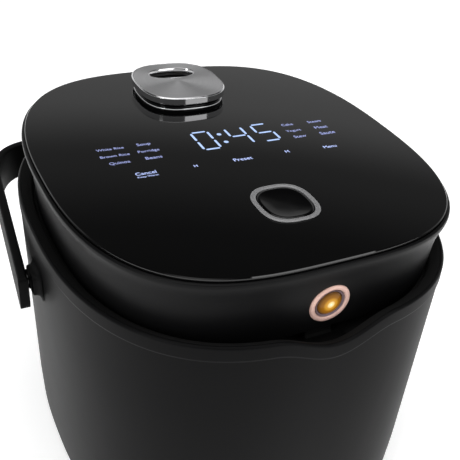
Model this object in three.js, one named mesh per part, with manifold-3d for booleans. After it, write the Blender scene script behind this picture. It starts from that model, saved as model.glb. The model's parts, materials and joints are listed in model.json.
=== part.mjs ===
// Electric pressure cooker with a hinged touch-panel lid and a folding bail handle.
// Millimetres, +Z up, +X to the right as seen from the front, +Y to the back.
// Heights are measured from the table; the plan is laid out round the middle of the pot.

import * as THREE from "three";
import { mergeVertices } from "three/addons/utils/BufferGeometryUtils.js";
import Module from "manifold-3d";

const wasm = await Module();
wasm.setup();

// ---- Driving dimensions ----------------------------------------------------------------

const HEIGHT = 232;                 // table to the glass
const RIM = HEIGHT - 37.5;          // top edge of the outer shell
const GAP = 0.3;                    // air between pieces that touch
const SEGMENTS = 48;                // steps round an outline of the body or lid
const ROUND_STEPS = 32;             // steps round a large circle
const SMALL_STEPS = 24;             // steps round a small one

// Rounded-square outlines: half sizes and the exponents that set how square they are.
const BODY = { x: 130.8, y: 149, side: 2.73, front: 2.5, back: 2.5 };
const LID = { x: 125, y: 137.6, side: 3.29, front: 2.68, back: 2.46 };
const BUTTON = { x: 19, y: 20.5, side: 2.7, front: 2.7, back: 2.7 };
const CAP = { x: 31.6, y: 32.4, side: 2.7, front: 2.7, back: 2.7 };

const DIP_DEPTH = 11;               // scoop in the front rim, under the lamp
const DIP_HALF = 40;

const GLASS_THICK = 3;
const GLASS_INSET = 2.2;
const LID_SKIRT = HEIGHT - 50;      // bottom edge of the lid's wall

const POT_R = 108;
const POT_FLOOR = 40;
const POT_FLANGE_R = 116.5;
const POT_FLANGE_Z = 170.3;
const LINER_R = 113;
const PLATE_R = 84;                 // heating plate
const SENSOR_R = 12;

const BASE_TOP = 9.3;
const FOOT_R = 10;
const FOOT_HEIGHT = 6;
const FOOT_X = 82;
const FOOT_Y = 96;

const HINGE_Y = 140.5;              // lid hinge axis
const HINGE_Z = HEIGHT - 24;
const HINGE_PIN_R = 2.5;
const KNUCKLE_R = 6;

const LAMP_Z = HEIGHT - 31.2;       // centre of the lamp in the lid's front wall
const LAMP_R = 13;
const LAMP_FACE_Y = -132.8;
const LAMP_TILT = 3.4;              // degrees the lamp leans back with the wall

const BUTTON_Y = -74.5;
const CAP_Y = 91.7;
const SLOT_Y = 13.3;                // steam slot, behind the middle of the cap
const SLOT_HALF = 17.3;
const SLOT_R = 8.9;
const CAP_PLATE_Z = HEIGHT + 3.9;
const CAP_TOP_Z = HEIGHT + 9.3;

const PIVOT_Z = HEIGHT - 72.5;      // bail pivots, in line with the middle of the pot
const BOSS_TALL = 16;               // boss on the body's side, a little below its pin
const BOSS_DEEP = 18;
const BOSS_DROP = 1.5;
const BOSS_IN = 130.6;
const BOSS_OUT = 135.4;
const PIVOT_PIN_R = 4;
const BAIL_X = 137.6;               // inner face of the arm's free end
const BAIL_FRONT = -9;
const BAIL_TAPER = 0.08;            // the arms draw together towards the back
const BAIL_ARM_END = 112;           // where the straight arm starts to bend
const BAIL_CORNER = { x: 103, y: 150.2 };
const BAIL_BACK = 158.2;            // inner face at the middle of the back
const BAIL_THICK = 6;
const BAIL_TALL = 28;
const BAIL_DROP = 6.6;              // strap's middle below the pivot
const BAIL_TILT = 3;                // degrees the folded bail rises to the back

const INLET_Z = 52;                 // middle of the mains inlet
const INLET_BACK = 149.4;

const VALVE_TUBE_R = 12;            // steam tube through the lid
const LID_DISH_Z = 175;             // lowest face of the inner lid
const LAMP_BOARD_R = 8.5;

const STEM_HALF = 4;                // stem under the release button
const STEM_LOW = HEIGHT - 40;
const LATCH_Y = -125.5;             // toe of the latch slider
const LATCH_TRAVEL = 3;
const LATCH_SLACK = 0.7;            // room between the stem's wedge and the slider's ramp

// ---- Solids from outlines ----------------------------------------------------------------

// Weld a geometry, drop its slivers and turn its faces outwards.
function closed(geometry) {
  geometry.deleteAttribute("normal");
  geometry.deleteAttribute("uv");
  const welded = mergeVertices(geometry, 1e-4);
  const at = welded.attributes.position;
  const kept = [];
  let volume = 0;
  const corner = [new THREE.Vector3(), new THREE.Vector3(), new THREE.Vector3()];
  for (let i = 0; i < welded.index.count; i += 3) {
    const tri = [0, 1, 2].map((k) => welded.index.getX(i + k));
    if (new Set(tri).size < 3) continue;
    kept.push(tri);
    tri.forEach((v, k) => corner[k].fromBufferAttribute(at, v));
    volume += corner[0].dot(corner[1].clone().cross(corner[2]));
  }
  const order = volume < 0 ? [0, 2, 1] : [0, 1, 2];
  welded.setIndex(kept.flatMap((tri) => order.map((k) => tri[k])));
  return welded;
}

function toSolid(geometry) {
  const shape = closed(geometry);
  return new wasm.Manifold(new wasm.Mesh({
    numProp: 3,
    vertProperties: new Float32Array(shape.attributes.position.array),
    triVerts: new Uint32Array(shape.index.array),
  }));
}

function toGeometry(solid) {
  const mesh = solid.getMesh();
  const geometry = new THREE.BufferGeometry();
  const position = new THREE.BufferAttribute(new Float32Array(mesh.vertProperties), 3);
  geometry.setAttribute("position", position);
  geometry.setIndex(Array.from(mesh.triVerts));
  return geometry;
}

const cut = (base, ...tools) => toGeometry(tools.map(toSolid).reduce((a, b) => a.subtract(b), toSolid(base)));
const join = (...parts) => toGeometry(parts.map(toSolid).reduce((a, b) => a.add(b)));
const common = (a, b) => toGeometry(toSolid(a).intersect(toSolid(b)));

// Distance from the middle to a rounded-square outline, drawn in by inset, along an angle.
function wall(outline, inset = 0) {
  return (angle) => {
    const across = Math.abs(Math.cos(angle)) / (outline.x - inset);
    const along = Math.abs(Math.sin(angle)) / (outline.y - inset);
    const power = Math.sin(angle) < 0 ? outline.front : outline.back;
    let low = 0;
    let high = outline.x + outline.y;
    for (let i = 0; i < 40; i += 1) {
      const r = (low + high) / 2;
      const outside = (across * r) ** outline.side + (along * r) ** power > 1;
      if (outside) high = r;
      else low = r;
    }
    return low;
  };
}

const round = (radius) => () => radius;
const AXIS = round(0);

// Sweep a profile of [radius function, height] round the vertical; lift may raise a point.
function revolve(profile, segments = SEGMENTS, lift = () => 0) {
  const line = profile.map(([radius, z]) => new THREE.Vector2(radius === AXIS ? 0 : 1, z));
  const geometry = new THREE.LatheGeometry(line, segments);
  const at = geometry.attributes.position;
  for (let i = 0; i <= segments; i += 1) {
    const angle = ((i % segments) / segments) * 2 * Math.PI;
    profile.forEach(([radius, z], j) => {
      const x = radius(angle) * Math.cos(angle);
      const y = radius(angle) * Math.sin(angle);
      at.setXYZ(i * profile.length + j, x, y, z + lift(x, y, z));
    });
  }
  return closed(geometry);
}

// A closed band is a profile that returns to its first point.
const band = (profile, segments, lift) => revolve([...profile, profile[0]], segments, lift);

const disc = (radius, low, high, segments = 16) => revolve(
  [[AXIS, low], [round(radius), low], [round(radius), high], [AXIS, high]], segments);

const sleeve = (inner, outer, low, high, segments = 16) => band(
  [[round(inner), low], [round(outer), low], [round(outer), high], [round(inner), high]], segments);

function outlineShape(outline, inset, segments = SEGMENTS) {
  const radius = wall(outline, inset);
  const points = [];
  for (let i = 0; i < segments; i += 1) {
    const angle = (i / segments) * 2 * Math.PI;
    points.push(new THREE.Vector2(radius(angle) * Math.cos(angle), radius(angle) * Math.sin(angle)));
  }
  return new THREE.Shape(points);
}

function rectangle(width, depth, corner) {
  const shape = new THREE.Shape();
  const x = width / 2;
  const y = depth / 2;
  shape.moveTo(-x + corner, -y);
  shape.lineTo(x - corner, -y);
  shape.absarc(x - corner, -y + corner, corner, -Math.PI / 2, 0);
  shape.absarc(x - corner, y - corner, corner, 0, Math.PI / 2);
  shape.absarc(-x + corner, y - corner, corner, Math.PI / 2, Math.PI);
  shape.absarc(-x + corner, -y + corner, corner, Math.PI, Math.PI * 1.5);
  return shape;
}

const prism = (shape, low, high, curveSegments = 3) => new THREE.ExtrudeGeometry(
  shape, { depth: high - low, bevelEnabled: false, curveSegments }).translate(0, 0, low);

const block = (width, depth, low, high) => new THREE.BoxGeometry(width, depth, high - low)
  .translate(0, 0, (low + high) / 2);

// Extrude a shape drawn in Y (across) and Z (up) along X.
function sidewise(shape, from, to, curveSegments = 4) {
  const geometry = prism(shape, from, to, curveSegments);
  const turn = new THREE.Matrix4().makeBasis(
    new THREE.Vector3(0, 1, 0), new THREE.Vector3(0, 0, 1), new THREE.Vector3(1, 0, 0));
  return geometry.applyMatrix4(turn);
}

const polygon = (points) => new THREE.Shape(points.map(([x, y]) => new THREE.Vector2(x, y)));

// Turn a solid built upwards so that it points to the front (-Y) or to +X.
const faceFront = (geometry) => geometry.rotateX(Math.PI / 2);
const faceSide = (geometry) => geometry.rotateY(Math.PI / 2);

class Helix extends THREE.Curve {
  constructor(radius, low, high, turns) {
    super();
    Object.assign(this, { radius, low, high, turns });
  }

  getPoint(t, target = new THREE.Vector3()) {
    const angle = t * this.turns * 2 * Math.PI;
    const z = this.low + (this.high - this.low) * t;
    return target.set(this.radius * Math.cos(angle), this.radius * Math.sin(angle), z);
  }
}

function coil(radius, wire, low, high, turns) {
  const section = new THREE.Shape();
  section.absarc(0, 0, wire / 2, 0, 2 * Math.PI);
  return new THREE.ExtrudeGeometry(section, {
    extrudePath: new Helix(radius, low + wire / 2, high - wire / 2, turns),
    steps: turns * 8,
    curveSegments: 2,
    bevelEnabled: false,
  });
}

// The front rim scoops down under the lamp; the scoop fades out between two depths below the rim.
const frontDip = (fadeTop, fadeEnd) => (x, y, z) => {
  if (y > 0 || Math.abs(x) > DIP_HALF) return 0;
  const bell = (1 + Math.cos((Math.PI * x) / DIP_HALF)) / 2;
  const fade = THREE.MathUtils.smoothstep(z, RIM - fadeEnd, RIM - fadeTop);
  return -DIP_DEPTH * bell * fade;
};

// ---- Cooker body ----------------------------------------------------------------------

function outerShell() {
  const shell = band([
    [wall(BODY, 0.7), RIM],
    [wall(BODY, 0), RIM - 1],
    [wall(BODY, 0), RIM - 9.6],
    [wall(BODY, 0.5), RIM - 10.4],
    [wall(BODY, 0.9), RIM - 50],
    [wall(BODY, 1.7), 40],
    [wall(BODY, 2.6), 14],
    [wall(BODY, 5.2), 6.3],
    [wall(BODY, 7.6), 6.3],
    [wall(BODY, 5.4), 14],
    [wall(BODY, 4.3), 40],
    [wall(BODY, 3.2), RIM - 50],
    [wall(BODY, 2), RIM - 12],
    [wall(BODY, 2), RIM],
  ], SEGMENTS, frontDip(18, 70));
  const inletHole = prism(rectangle(30.6, 24.6, 2), -160, -120).rotateX(Math.PI / 2);
  return cut(shell, inletHole.translate(0, 0, INLET_Z));
}

function upperCollar() {
  return band([
    [wall(BODY, 2 + GAP), RIM - 0.2],
    [wall(BODY, 8.6), RIM - 4.2],
    [wall(BODY, 9.4), RIM - 6],
    [wall(BODY, 9.6), POT_FLANGE_Z + 0.6],
    [round(118.5), POT_FLANGE_Z + 0.4],
    [round(118), POT_FLANGE_Z - GAP],
    [round(110.5), POT_FLANGE_Z - GAP],
    [round(110.5), POT_FLANGE_Z - 3],
    [round(119), POT_FLANGE_Z - 3],
    [wall(BODY, 8), POT_FLANGE_Z - 3],
    [wall(BODY, 7.6), RIM - 6.4],
    [wall(BODY, 4), RIM - 4.6],
    [wall(BODY, 2.6), RIM - 8],
    [wall(BODY, 2 + GAP), RIM - 8],
  ], SEGMENTS, frontDip(10, 23));
}

function innerLiner() {
  return band([
    [round(LINER_R), 167 - GAP],
    [round(LINER_R), 34],
    [round(LINER_R - 6), 27],
    [round(70), 27],
    [round(70), 28.5],
    [round(LINER_R - 6.6), 28.5],
    [round(LINER_R - 1.5), 34.6],
    [round(LINER_R - 1.5), 167 - GAP],
  ], ROUND_STEPS);
}

function innerPot() {
  return revolve([
    [AXIS, POT_FLOOR],
    [round(POT_R - 16), POT_FLOOR],
    [round(POT_R - 5), POT_FLOOR + 5],
    [round(POT_R), POT_FLOOR + 16],
    [round(POT_R), POT_FLANGE_Z - 2],
    [round(POT_R + 2), POT_FLANGE_Z],
    [round(POT_FLANGE_R), POT_FLANGE_Z],
    [round(POT_FLANGE_R), POT_FLANGE_Z + 1.8],
    [round(POT_R), POT_FLANGE_Z + 1.8],
    [round(POT_R - 2), POT_FLANGE_Z],
    [round(POT_R - 2), POT_FLOOR + 16.5],
    [round(POT_R - 6.4), POT_FLOOR + 6.6],
    [round(POT_R - 16.5), POT_FLOOR + 2],
    [AXIS, POT_FLOOR + 2],
  ], ROUND_STEPS);
}

function heatingPlate() {
  return band([
    [round(SENSOR_R + 4), 32],
    [round(PLATE_R - 8), 32],
    [round(PLATE_R), 30],
    [round(PLATE_R), POT_FLOOR - 3],
    [round(PLATE_R - 3), POT_FLOOR - 0.5],
    [round(SENSOR_R + 4), POT_FLOOR - 0.5],
  ], SMALL_STEPS);
}

const heatingElement = () => band(
  Array.from({ length: 6 }, (_, i) => {
    const turn = (i / 6) * 2 * Math.PI;
    return [round(62 + 2.4 * Math.cos(turn)), 29.2 + 2.4 * Math.sin(turn)];
  }), SMALL_STEPS);

const sensorGuide = () => sleeve(SENSOR_R + 0.6, SENSOR_R + 3, 16, POT_FLOOR - 3);

const potSensor = () => revolve([
  [AXIS, POT_FLOOR - 11], [round(SENSOR_R - 3), POT_FLOOR - 11], [round(SENSOR_R - 3), POT_FLOOR - 4],
  [round(SENSOR_R), POT_FLOOR - 4], [round(SENSOR_R), POT_FLOOR - 0.6], [round(SENSOR_R - 1), POT_FLOOR - GAP],
  [AXIS, POT_FLOOR - GAP],
], 16);

const sensorSpring = () => coil(10.3, 1, BASE_TOP + 7, POT_FLOOR - 4.4, 5);

function sensorSeat() {
  return join(disc(SENSOR_R + 3, BASE_TOP + GAP, BASE_TOP + 4),
    sleeve(SENSOR_R - 4, SENSOR_R + 3, BASE_TOP + 3.5, BASE_TOP + 6.4));
}

function basePlate() {
  const plate = revolve([
    [AXIS, 6.3], [wall(BODY, 8.2), 6.3], [wall(BODY, 8.2), BASE_TOP], [AXIS, BASE_TOP],
  ]);
  const vents = [];
  for (let i = -2; i <= 2; i += 1) {
    vents.push(block(5, 40, 0, 20).translate(i * 14, 48, 0));
  }
  const posts = [-54, 54].flatMap((x) => [-83, -41].map((y) => (
    disc(3, BASE_TOP - 1, BASE_TOP + 4 - GAP, 10).translate(x, y, 0))));
  return join(cut(plate, ...vents), ...posts);
}

const foot = () => revolve([
  [AXIS, 0], [round(FOOT_R - 1), 0], [round(FOOT_R), 1], [round(FOOT_R + 1), FOOT_HEIGHT],
  [AXIS, FOOT_HEIGHT],
], 16);

function powerBoard() {
  const board = block(120, 54, BASE_TOP + 4, BASE_TOP + 5.6);
  const transformer = block(28, 24, BASE_TOP + 5, BASE_TOP + 15).translate(-38, 4, 0);
  const relay = block(20, 14, BASE_TOP + 5, BASE_TOP + 14).translate(2, -10, 0);
  const capacitor = disc(6, BASE_TOP + 5, BASE_TOP + 15, 12).translate(34, 10, 0);
  const smallCapacitor = disc(4, BASE_TOP + 5, BASE_TOP + 12, 12).translate(48, -8, 0);
  return join(board, transformer, relay, capacitor, smallCapacitor).translate(0, -62, 0);
}

// Appliance inlet: a flanged box let into the back wall, open to the back.
function powerInlet() {
  const flange = prism(rectangle(36, 30, 3), 0, 1.4);
  const box = prism(rectangle(30, 24, 2), -20, 0.5);
  const socket = prism(rectangle(24, 16, 4), -17, 2);
  const upright = cut(join(flange, box), socket);
  return upright.rotateX(-Math.PI / 2).translate(0, INLET_BACK - 1.4, INLET_Z);
}

const inletPin = () => new THREE.BoxGeometry(2, 12.6, 4);

// ---- Lid hinge -------------------------------------------------------------------------

const hingeBore = (from, to) => faceSide(disc(HINGE_PIN_R + GAP, from, to, 16))
  .translate(0, HINGE_Y, HINGE_Z);

// Tower on the collar's back edge that carries one end of the hinge pin.
function hingeTower(side) {
  const shape = new THREE.Shape();
  shape.moveTo(HINGE_Y + 1.5, RIM - 1.2);
  shape.lineTo(HINGE_Y + KNUCKLE_R, RIM + 5);
  shape.lineTo(HINGE_Y + KNUCKLE_R, HINGE_Z);
  shape.absarc(HINGE_Y, HINGE_Z, KNUCKLE_R, 0, Math.PI);
  shape.lineTo(HINGE_Y - KNUCKLE_R + 2.5, HINGE_Z - 9);
  shape.lineTo(HINGE_Y - 2.5, RIM - 3);
  const from = side > 0 ? 29.6 : -42;
  return cut(sidewise(shape, from, from + 12.4, 8), hingeBore(from - 1, from + 13.4));
}

function hingePin() {
  const pin = disc(HINGE_PIN_R, -43, 43, 16);
  return faceSide(pin).translate(0, HINGE_Y, HINGE_Z);
}

// Leaf screwed to the lid's back wall, with a knuckle at each end and the spring between.
function lidHingeLeaf() {
  const back = HINGE_Y - KNUCKLE_R - 0.2;
  const shape = new THREE.Shape();
  shape.moveTo(back, HINGE_Z + 5);
  shape.lineTo(back, HINGE_Z - KNUCKLE_R);
  shape.lineTo(HINGE_Y, HINGE_Z - KNUCKLE_R);
  shape.absarc(HINGE_Y, HINGE_Z, KNUCKLE_R, -Math.PI / 2, Math.PI / 2);
  const knuckle = (from) => sidewise(shape, from, from + 13, 8);
  const plate = sidewise(polygon([
    [back, HINGE_Z - 14], [back + 1.6, HINGE_Z - 14], [back + 1.6, HINGE_Z + 5], [back, HINGE_Z + 5],
  ]), -29, 29);
  return cut(join(knuckle(-29), knuckle(16), plate), hingeBore(-50, 50));
}

function hingeSpring() {
  return faceSide(coil(4, 1, -14.5, 14.5, 9)).translate(0, HINGE_Y, HINGE_Z);
}

// ---- Bail handle -----------------------------------------------------------------------

const side = (geometry, sign) => {
  if (sign < 0) return closed(geometry);
  return closed(geometry.scale(-1, 1, 1));
};

function handleBoss(sign) {
  const post = prism(rectangle(BOSS_TALL, BOSS_DEEP, 2.5), BOSS_IN, BOSS_OUT)
    .translate(-BOSS_DROP, 0, 0);
  const bore = disc(PIVOT_PIN_R + GAP, BOSS_IN - 1, BOSS_OUT + 1, 20);
  return side(cut(post, bore).rotateY(-Math.PI / 2).translate(0, 0, PIVOT_Z), sign);
}

function handlePin(sign) {
  const pin = disc(PIVOT_PIN_R, BOSS_IN + 0.4, BOSS_OUT + 4.4, 20);
  return side(pin.rotateY(-Math.PI / 2).translate(0, 0, PIVOT_Z), sign);
}

// Inner edge of the strap in plan, from the left arm's free end round the back.
function bailPath() {
  const armX = BAIL_X - BAIL_TAPER * (BAIL_ARM_END - BAIL_FRONT);
  const bendX = armX - 2.4;
  const bendY = BAIL_CORNER.y - 5.2;
  const crown = 2 * BAIL_BACK - BAIL_CORNER.y;
  const path = new THREE.Path();
  path.moveTo(-BAIL_X, BAIL_FRONT);
  path.lineTo(-armX, BAIL_ARM_END);
  path.quadraticCurveTo(-bendX, bendY, -BAIL_CORNER.x, BAIL_CORNER.y);
  path.quadraticCurveTo(0, crown, BAIL_CORNER.x, BAIL_CORNER.y);
  path.quadraticCurveTo(bendX, bendY, armX, BAIL_ARM_END);
  path.lineTo(BAIL_X, BAIL_FRONT);
  return path;
}

function bailOutline() {
  const inner = bailPath().getPoints(8);
  const outer = inner.map((point, i) => {
    const before = inner[Math.max(i - 1, 0)];
    const after = inner[Math.min(i + 1, inner.length - 1)];
    const along = after.clone().sub(before).normalize();
    return new THREE.Vector2(point.x - along.y * BAIL_THICK, point.y + along.x * BAIL_THICK);
  });
  return new THREE.Shape([...inner, ...outer.reverse()]);
}

// Flat strap bent round the back of the body; blind bores at its ends take the pivot pins.
function handleBail() {
  const top = BAIL_TALL / 2 - BAIL_DROP;
  const bottom = -BAIL_TALL / 2 - BAIL_DROP;
  const sideView = new THREE.Shape();
  sideView.moveTo(BAIL_FRONT, top - 2);
  sideView.absarc(BAIL_FRONT + 2, top - 2, 2, Math.PI, Math.PI / 2, true);
  sideView.lineTo(200, top);
  sideView.lineTo(200, bottom);
  sideView.absarc(BAIL_FRONT + 7, bottom + 7, 7, -Math.PI / 2, -Math.PI, true);
  const strap = common(prism(bailOutline(), bottom - 1, top + 1), sidewise(sideView, -160, 160));
  const bore = disc(PIVOT_PIN_R + GAP, BOSS_OUT - 10, BOSS_OUT + 4.8, 20);
  const left = bore.clone().rotateY(-Math.PI / 2);
  const right = bore.clone().rotateY(Math.PI / 2);
  return cut(strap, left, right)
    .rotateX(THREE.MathUtils.degToRad(BAIL_TILT))
    .translate(0, 0, PIVOT_Z);
}

// ---- Lid -------------------------------------------------------------------------------

function lidShell() {
  const shell = band([
    [wall(LID, GLASS_INSET - GAP), HEIGHT - GLASS_THICK + 0.4],
    [wall(LID, 1.4), HEIGHT - 2.3],
    [wall(LID, 0.4), HEIGHT - 2.9],
    [wall(LID, 0), HEIGHT - 4.4],
    [wall(LID, 1.3), HEIGHT - 9],
    [wall(LID, 3.4), HEIGHT - 17],
    [wall(LID, 4.6), HEIGHT - 28],
    [wall(LID, 5.8), LID_SKIRT],
    [wall(LID, 8.2), LID_SKIRT],
    [wall(LID, 7), HEIGHT - 28],
    [wall(LID, 5.8), HEIGHT - 17],
    [wall(LID, 4.4), HEIGHT - 8.5],
    [wall(LID, 15), HEIGHT - 6],
    [wall(LID, 15), HEIGHT - GLASS_THICK - GAP],
    [wall(LID, GLASS_INSET - GAP), HEIGHT - GLASS_THICK - GAP],
  ]);
  const lampHole = faceFront(disc(LAMP_R - 0.8, 110, 150)).translate(0, 0, LAMP_Z);
  return cut(shell, lampHole);
}

// Black glass with a hole for the release button and one for the steam valve.
function glassPanel() {
  const shape = outlineShape(LID, GLASS_INSET + 0.5);
  const buttonHole = outlineShape(BUTTON, 1.2, SMALL_STEPS).getPoints();
  shape.holes.push(new THREE.Path(buttonHole.map((p) => new THREE.Vector2(p.x, p.y + BUTTON_Y))));
  const valveHole = new THREE.Path();
  valveHole.absarc(0, CAP_Y, VALVE_TUBE_R + 1.2, 0, 2 * Math.PI);
  shape.holes.push(valveHole);
  const panel = new THREE.ExtrudeGeometry(shape, {
    depth: GLASS_THICK - 0.5,
    bevelThickness: 0.5,
    bevelSize: 0.5,
    bevelSegments: 1,
    curveSegments: 8,
  });
  const sheet = prism(outlineShape(LID, 0), HEIGHT - GLASS_THICK, HEIGHT + 2);
  return common(panel.translate(0, 0, HEIGHT - GLASS_THICK), sheet);
}

const lidInnerCover = () => {
  const plate = revolve([
    [AXIS, LID_SKIRT - 3], [wall(LID, 8), LID_SKIRT - 3], [wall(LID, 8), LID_SKIRT - GAP],
    [wall(LID, 10), LID_SKIRT - GAP], [AXIS, LID_SKIRT - GAP],
  ]);
  const valveHole = disc(VALVE_TUBE_R + 0.6, 0, 300).translate(0, CAP_Y, 0);
  const latchSlot = block(24, 7.4, 0, 300).translate(0, LATCH_Y + 1.6, 0);
  return cut(plate, valveHole, latchSlot);
};

function innerLid() {
  const dish = revolve([
    [AXIS, LID_DISH_Z + 1.8], [round(98), LID_DISH_Z + 1.8], [round(101), LID_DISH_Z],
    [round(113), LID_DISH_Z], [round(113), LID_DISH_Z + 1.4], [round(102), LID_DISH_Z + 1.4],
    [round(99), LID_DISH_Z + 3.4], [AXIS, LID_DISH_Z + 3.4],
  ], ROUND_STEPS);
  return cut(dish, disc(VALVE_TUBE_R + 0.6, 0, 300, 20).translate(0, CAP_Y, 0));
}

const sealingGasket = () => band([
  [round(107), LID_DISH_Z - 2.5], [round(114.5), LID_DISH_Z - 2.5],
  [round(114.5), LID_DISH_Z + 2.4], [round(113.3), LID_DISH_Z + 2.4],
  [round(113.3), LID_DISH_Z - GAP], [round(107), LID_DISH_Z - GAP],
], ROUND_STEPS);

function displayBoard() {
  const board = block(176, 64, HEIGHT - 12, HEIGHT - 10.4);
  const digits = block(92, 34, HEIGHT - 10.8, HEIGHT - GLASS_THICK - GAP).translate(0, 4, 0);
  const lamps = [-64, 64].map((x) => (
    block(30, 44, HEIGHT - 10.8, HEIGHT - GLASS_THICK - GAP).translate(x, 0, 0)));
  return join(board, digits, ...lamps);
}

// ---- Lamp in the lid's front wall --------------------------------------------------------

const lampPlace = (geometry) => faceFront(geometry)
  .rotateX(THREE.MathUtils.degToRad(LAMP_TILT))
  .translate(0, LAMP_FACE_Y, LAMP_Z);

const lampTrimRing = () => lampPlace(band([
  [round(LAMP_R * 0.74), 1.2], [round(LAMP_R - 0.6), 1.5], [round(LAMP_R), 1], [round(LAMP_R), 0.5],
  [round(LAMP_R - 1.3), 0.5], [round(LAMP_R - 1.3), -5], [round(LAMP_R * 0.74), -5],
], SMALL_STEPS));

const lampBezel = () => lampPlace(band([
  [round(LAMP_R * 0.63), 0.2], [round(LAMP_R * 0.74 - GAP), 0.9], [round(LAMP_R * 0.74 - GAP), -4.6],
  [round(LAMP_R * 0.63), -4.6],
], SMALL_STEPS));

const lampLens = () => lampPlace(revolve([
  [AXIS, -3.6], [round(LAMP_R * 0.63 - GAP), -3.6], [round(LAMP_R * 0.63 - GAP), 0.1],
  [round(LAMP_R * 0.45), 1.4], [AXIS, 2],
], 24));

const lampBoard = () => lampPlace(join(
  disc(LAMP_BOARD_R, -8.6, -7.2), disc(3, -7.4, -4.2, 12)));

// ---- Release button and latch --------------------------------------------------------------

const atButton = (geometry) => geometry.translate(0, BUTTON_Y, 0);

const buttonTrimRing = () => atButton(band([
  [wall(BUTTON, 0), HEIGHT + GAP], [wall(BUTTON, 0.6), HEIGHT + 1.1], [wall(BUTTON, 2.6), HEIGHT + 1.1],
  [wall(BUTTON, 3), HEIGHT + 0.6], [wall(BUTTON, 3), HEIGHT - 8], [wall(BUTTON, 2), HEIGHT - 8],
  [wall(BUTTON, 2), HEIGHT + GAP],
], SMALL_STEPS));

// Well under the button: keeps it upright and carries its spring.
function buttonGuide() {
  const well = band([
    [wall(BUTTON, 0.6), HEIGHT - GLASS_THICK - GAP], [wall(BUTTON, 0.6), HEIGHT - 26],
    [round(7), HEIGHT - 26], [round(7), HEIGHT - 24.4], [wall(BUTTON, 1.6), HEIGHT - 24.4],
    [wall(BUTTON, 1.6), HEIGHT - GLASS_THICK - GAP],
  ], SMALL_STEPS);
  return atButton(well);
}

function releaseButton() {
  const pad = revolve([
    [AXIS, HEIGHT - 6], [wall(BUTTON, 3.5), HEIGHT - 6], [wall(BUTTON, 3.5), HEIGHT + 0.3],
    [wall(BUTTON, 4.2), HEIGHT + 0.7], [wall(BUTTON, 8), HEIGHT + 0.3], [AXIS, HEIGHT],
  ], SMALL_STEPS);
  const wedge = polygon([
    [-STEM_HALF, HEIGHT - 5.5], [-STEM_HALF, STEM_LOW], [STEM_HALF, STEM_LOW + 2 * STEM_HALF],
    [STEM_HALF, HEIGHT - 5.5],
  ]);
  return atButton(join(pad, sidewise(wedge, -3, 3)));
}

const buttonSpring = () => atButton(coil(9, 1, HEIGHT - 24, HEIGHT - 6.4, 5));

// Slider under the button: the stem's wedge drives it back and its toe leaves the strike.
function latchSlider() {
  const top = STEM_LOW - LATCH_TRAVEL - 2 * LATCH_SLACK;
  const bottom = top - 3.4;
  const rampTop = STEM_LOW - LATCH_SLACK + 2 * STEM_HALF;
  const rampBack = BUTTON_Y + STEM_HALF + LATCH_SLACK;
  const toe = POT_FLANGE_Z + 1.3;
  const front = LATCH_Y - 1.5;
  const shape = polygon([
    [front - 3, toe], [LATCH_Y + 1.5, toe], [LATCH_Y + 1.5, bottom],
    [BUTTON_Y + 14, bottom], [BUTTON_Y + 14, rampTop], [rampBack, rampTop],
    [rampBack - (rampTop - top), top], [front, top], [front, toe + 2.4], [front - 3, toe + 1.8],
  ]);
  return sidewise(shape, -9, 9);
}

function latchStrike() {
  const tip = LATCH_Y - 5.6;
  const shape = polygon([
    [-137.6, 171.3], [-136, 171.3], [-136, 174.6], [tip, 174.6], [tip, 176.2], [-137.6, 176.2],
  ]);
  return sidewise(shape, -14, 14);
}

// ---- Steam vent -----------------------------------------------------------------------------

const atCap = (geometry) => geometry.translate(0, CAP_Y, 0);

const steamTube = () => atCap(band([
  [round(4), 178.9], [round(VALVE_TUBE_R - 3), 178.9], [round(VALVE_TUBE_R), 182], [round(VALVE_TUBE_R), HEIGHT],
  [round(VALVE_TUBE_R - 1.5), HEIGHT], [round(VALVE_TUBE_R - 1.5), 190], [round(4), 184],
], 20));

const pressureValve = () => atCap(revolve([
  [AXIS, 184.4], [round(5), 186.2], [round(8.6), 191.2], [round(8.6), 214], [round(6), 218],
  [round(6), 226], [AXIS, 226],
], 20));

const ventTrimRing = () => atCap(band([
  [wall(CAP, 1.4), HEIGHT + GAP], [wall(CAP, 1.4), HEIGHT + 0.8], [wall(CAP, 4), HEIGHT + 0.8],
  [wall(CAP, 4), HEIGHT + GAP],
], SMALL_STEPS));

const capBody = () => atCap(band([
  [wall(CAP, 2), HEIGHT + 1.1], [wall(CAP, 1.8), HEIGHT + 2], [wall(CAP, 5), HEIGHT + 2.6],
  [wall(CAP, 5), CAP_PLATE_Z - GAP], [wall(CAP, 10), CAP_PLATE_Z - GAP], [wall(CAP, 10), HEIGHT + 1.1],
], SMALL_STEPS));

const capSeal = () => atCap(band([
  [round(14), HEIGHT + GAP], [round(18), HEIGHT + GAP], [round(18), HEIGHT + 1.8], [round(14), HEIGHT + 1.8],
], 20));

const capBaffle = () => atCap(band([
  [round(13), HEIGHT + 2.1], [wall(CAP, 10 + GAP), HEIGHT + 2.1], [wall(CAP, 10 + GAP), HEIGHT + 3.2],
  [round(13), HEIGHT + 3.2],
], SMALL_STEPS));

// Steel top of the vent cap, with its steam slot.
function capPlate() {
  const plate = revolve([
    [AXIS, CAP_PLATE_Z], [wall(CAP, 0.5), CAP_PLATE_Z], [wall(CAP, 0), CAP_PLATE_Z + 0.6],
    [wall(CAP, 0), CAP_TOP_Z - 1], [wall(CAP, 1), CAP_TOP_Z], [AXIS, CAP_TOP_Z],
  ], ROUND_STEPS);
  const slot = prism(rectangle(2 * SLOT_HALF, 2 * SLOT_R, SLOT_R - 0.1), 0, 300, 6).translate(0, SLOT_Y, 0);
  return atCap(cut(plate, slot));
}

// ---- Assembly -----------------------------------------------------------------------------

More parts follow.
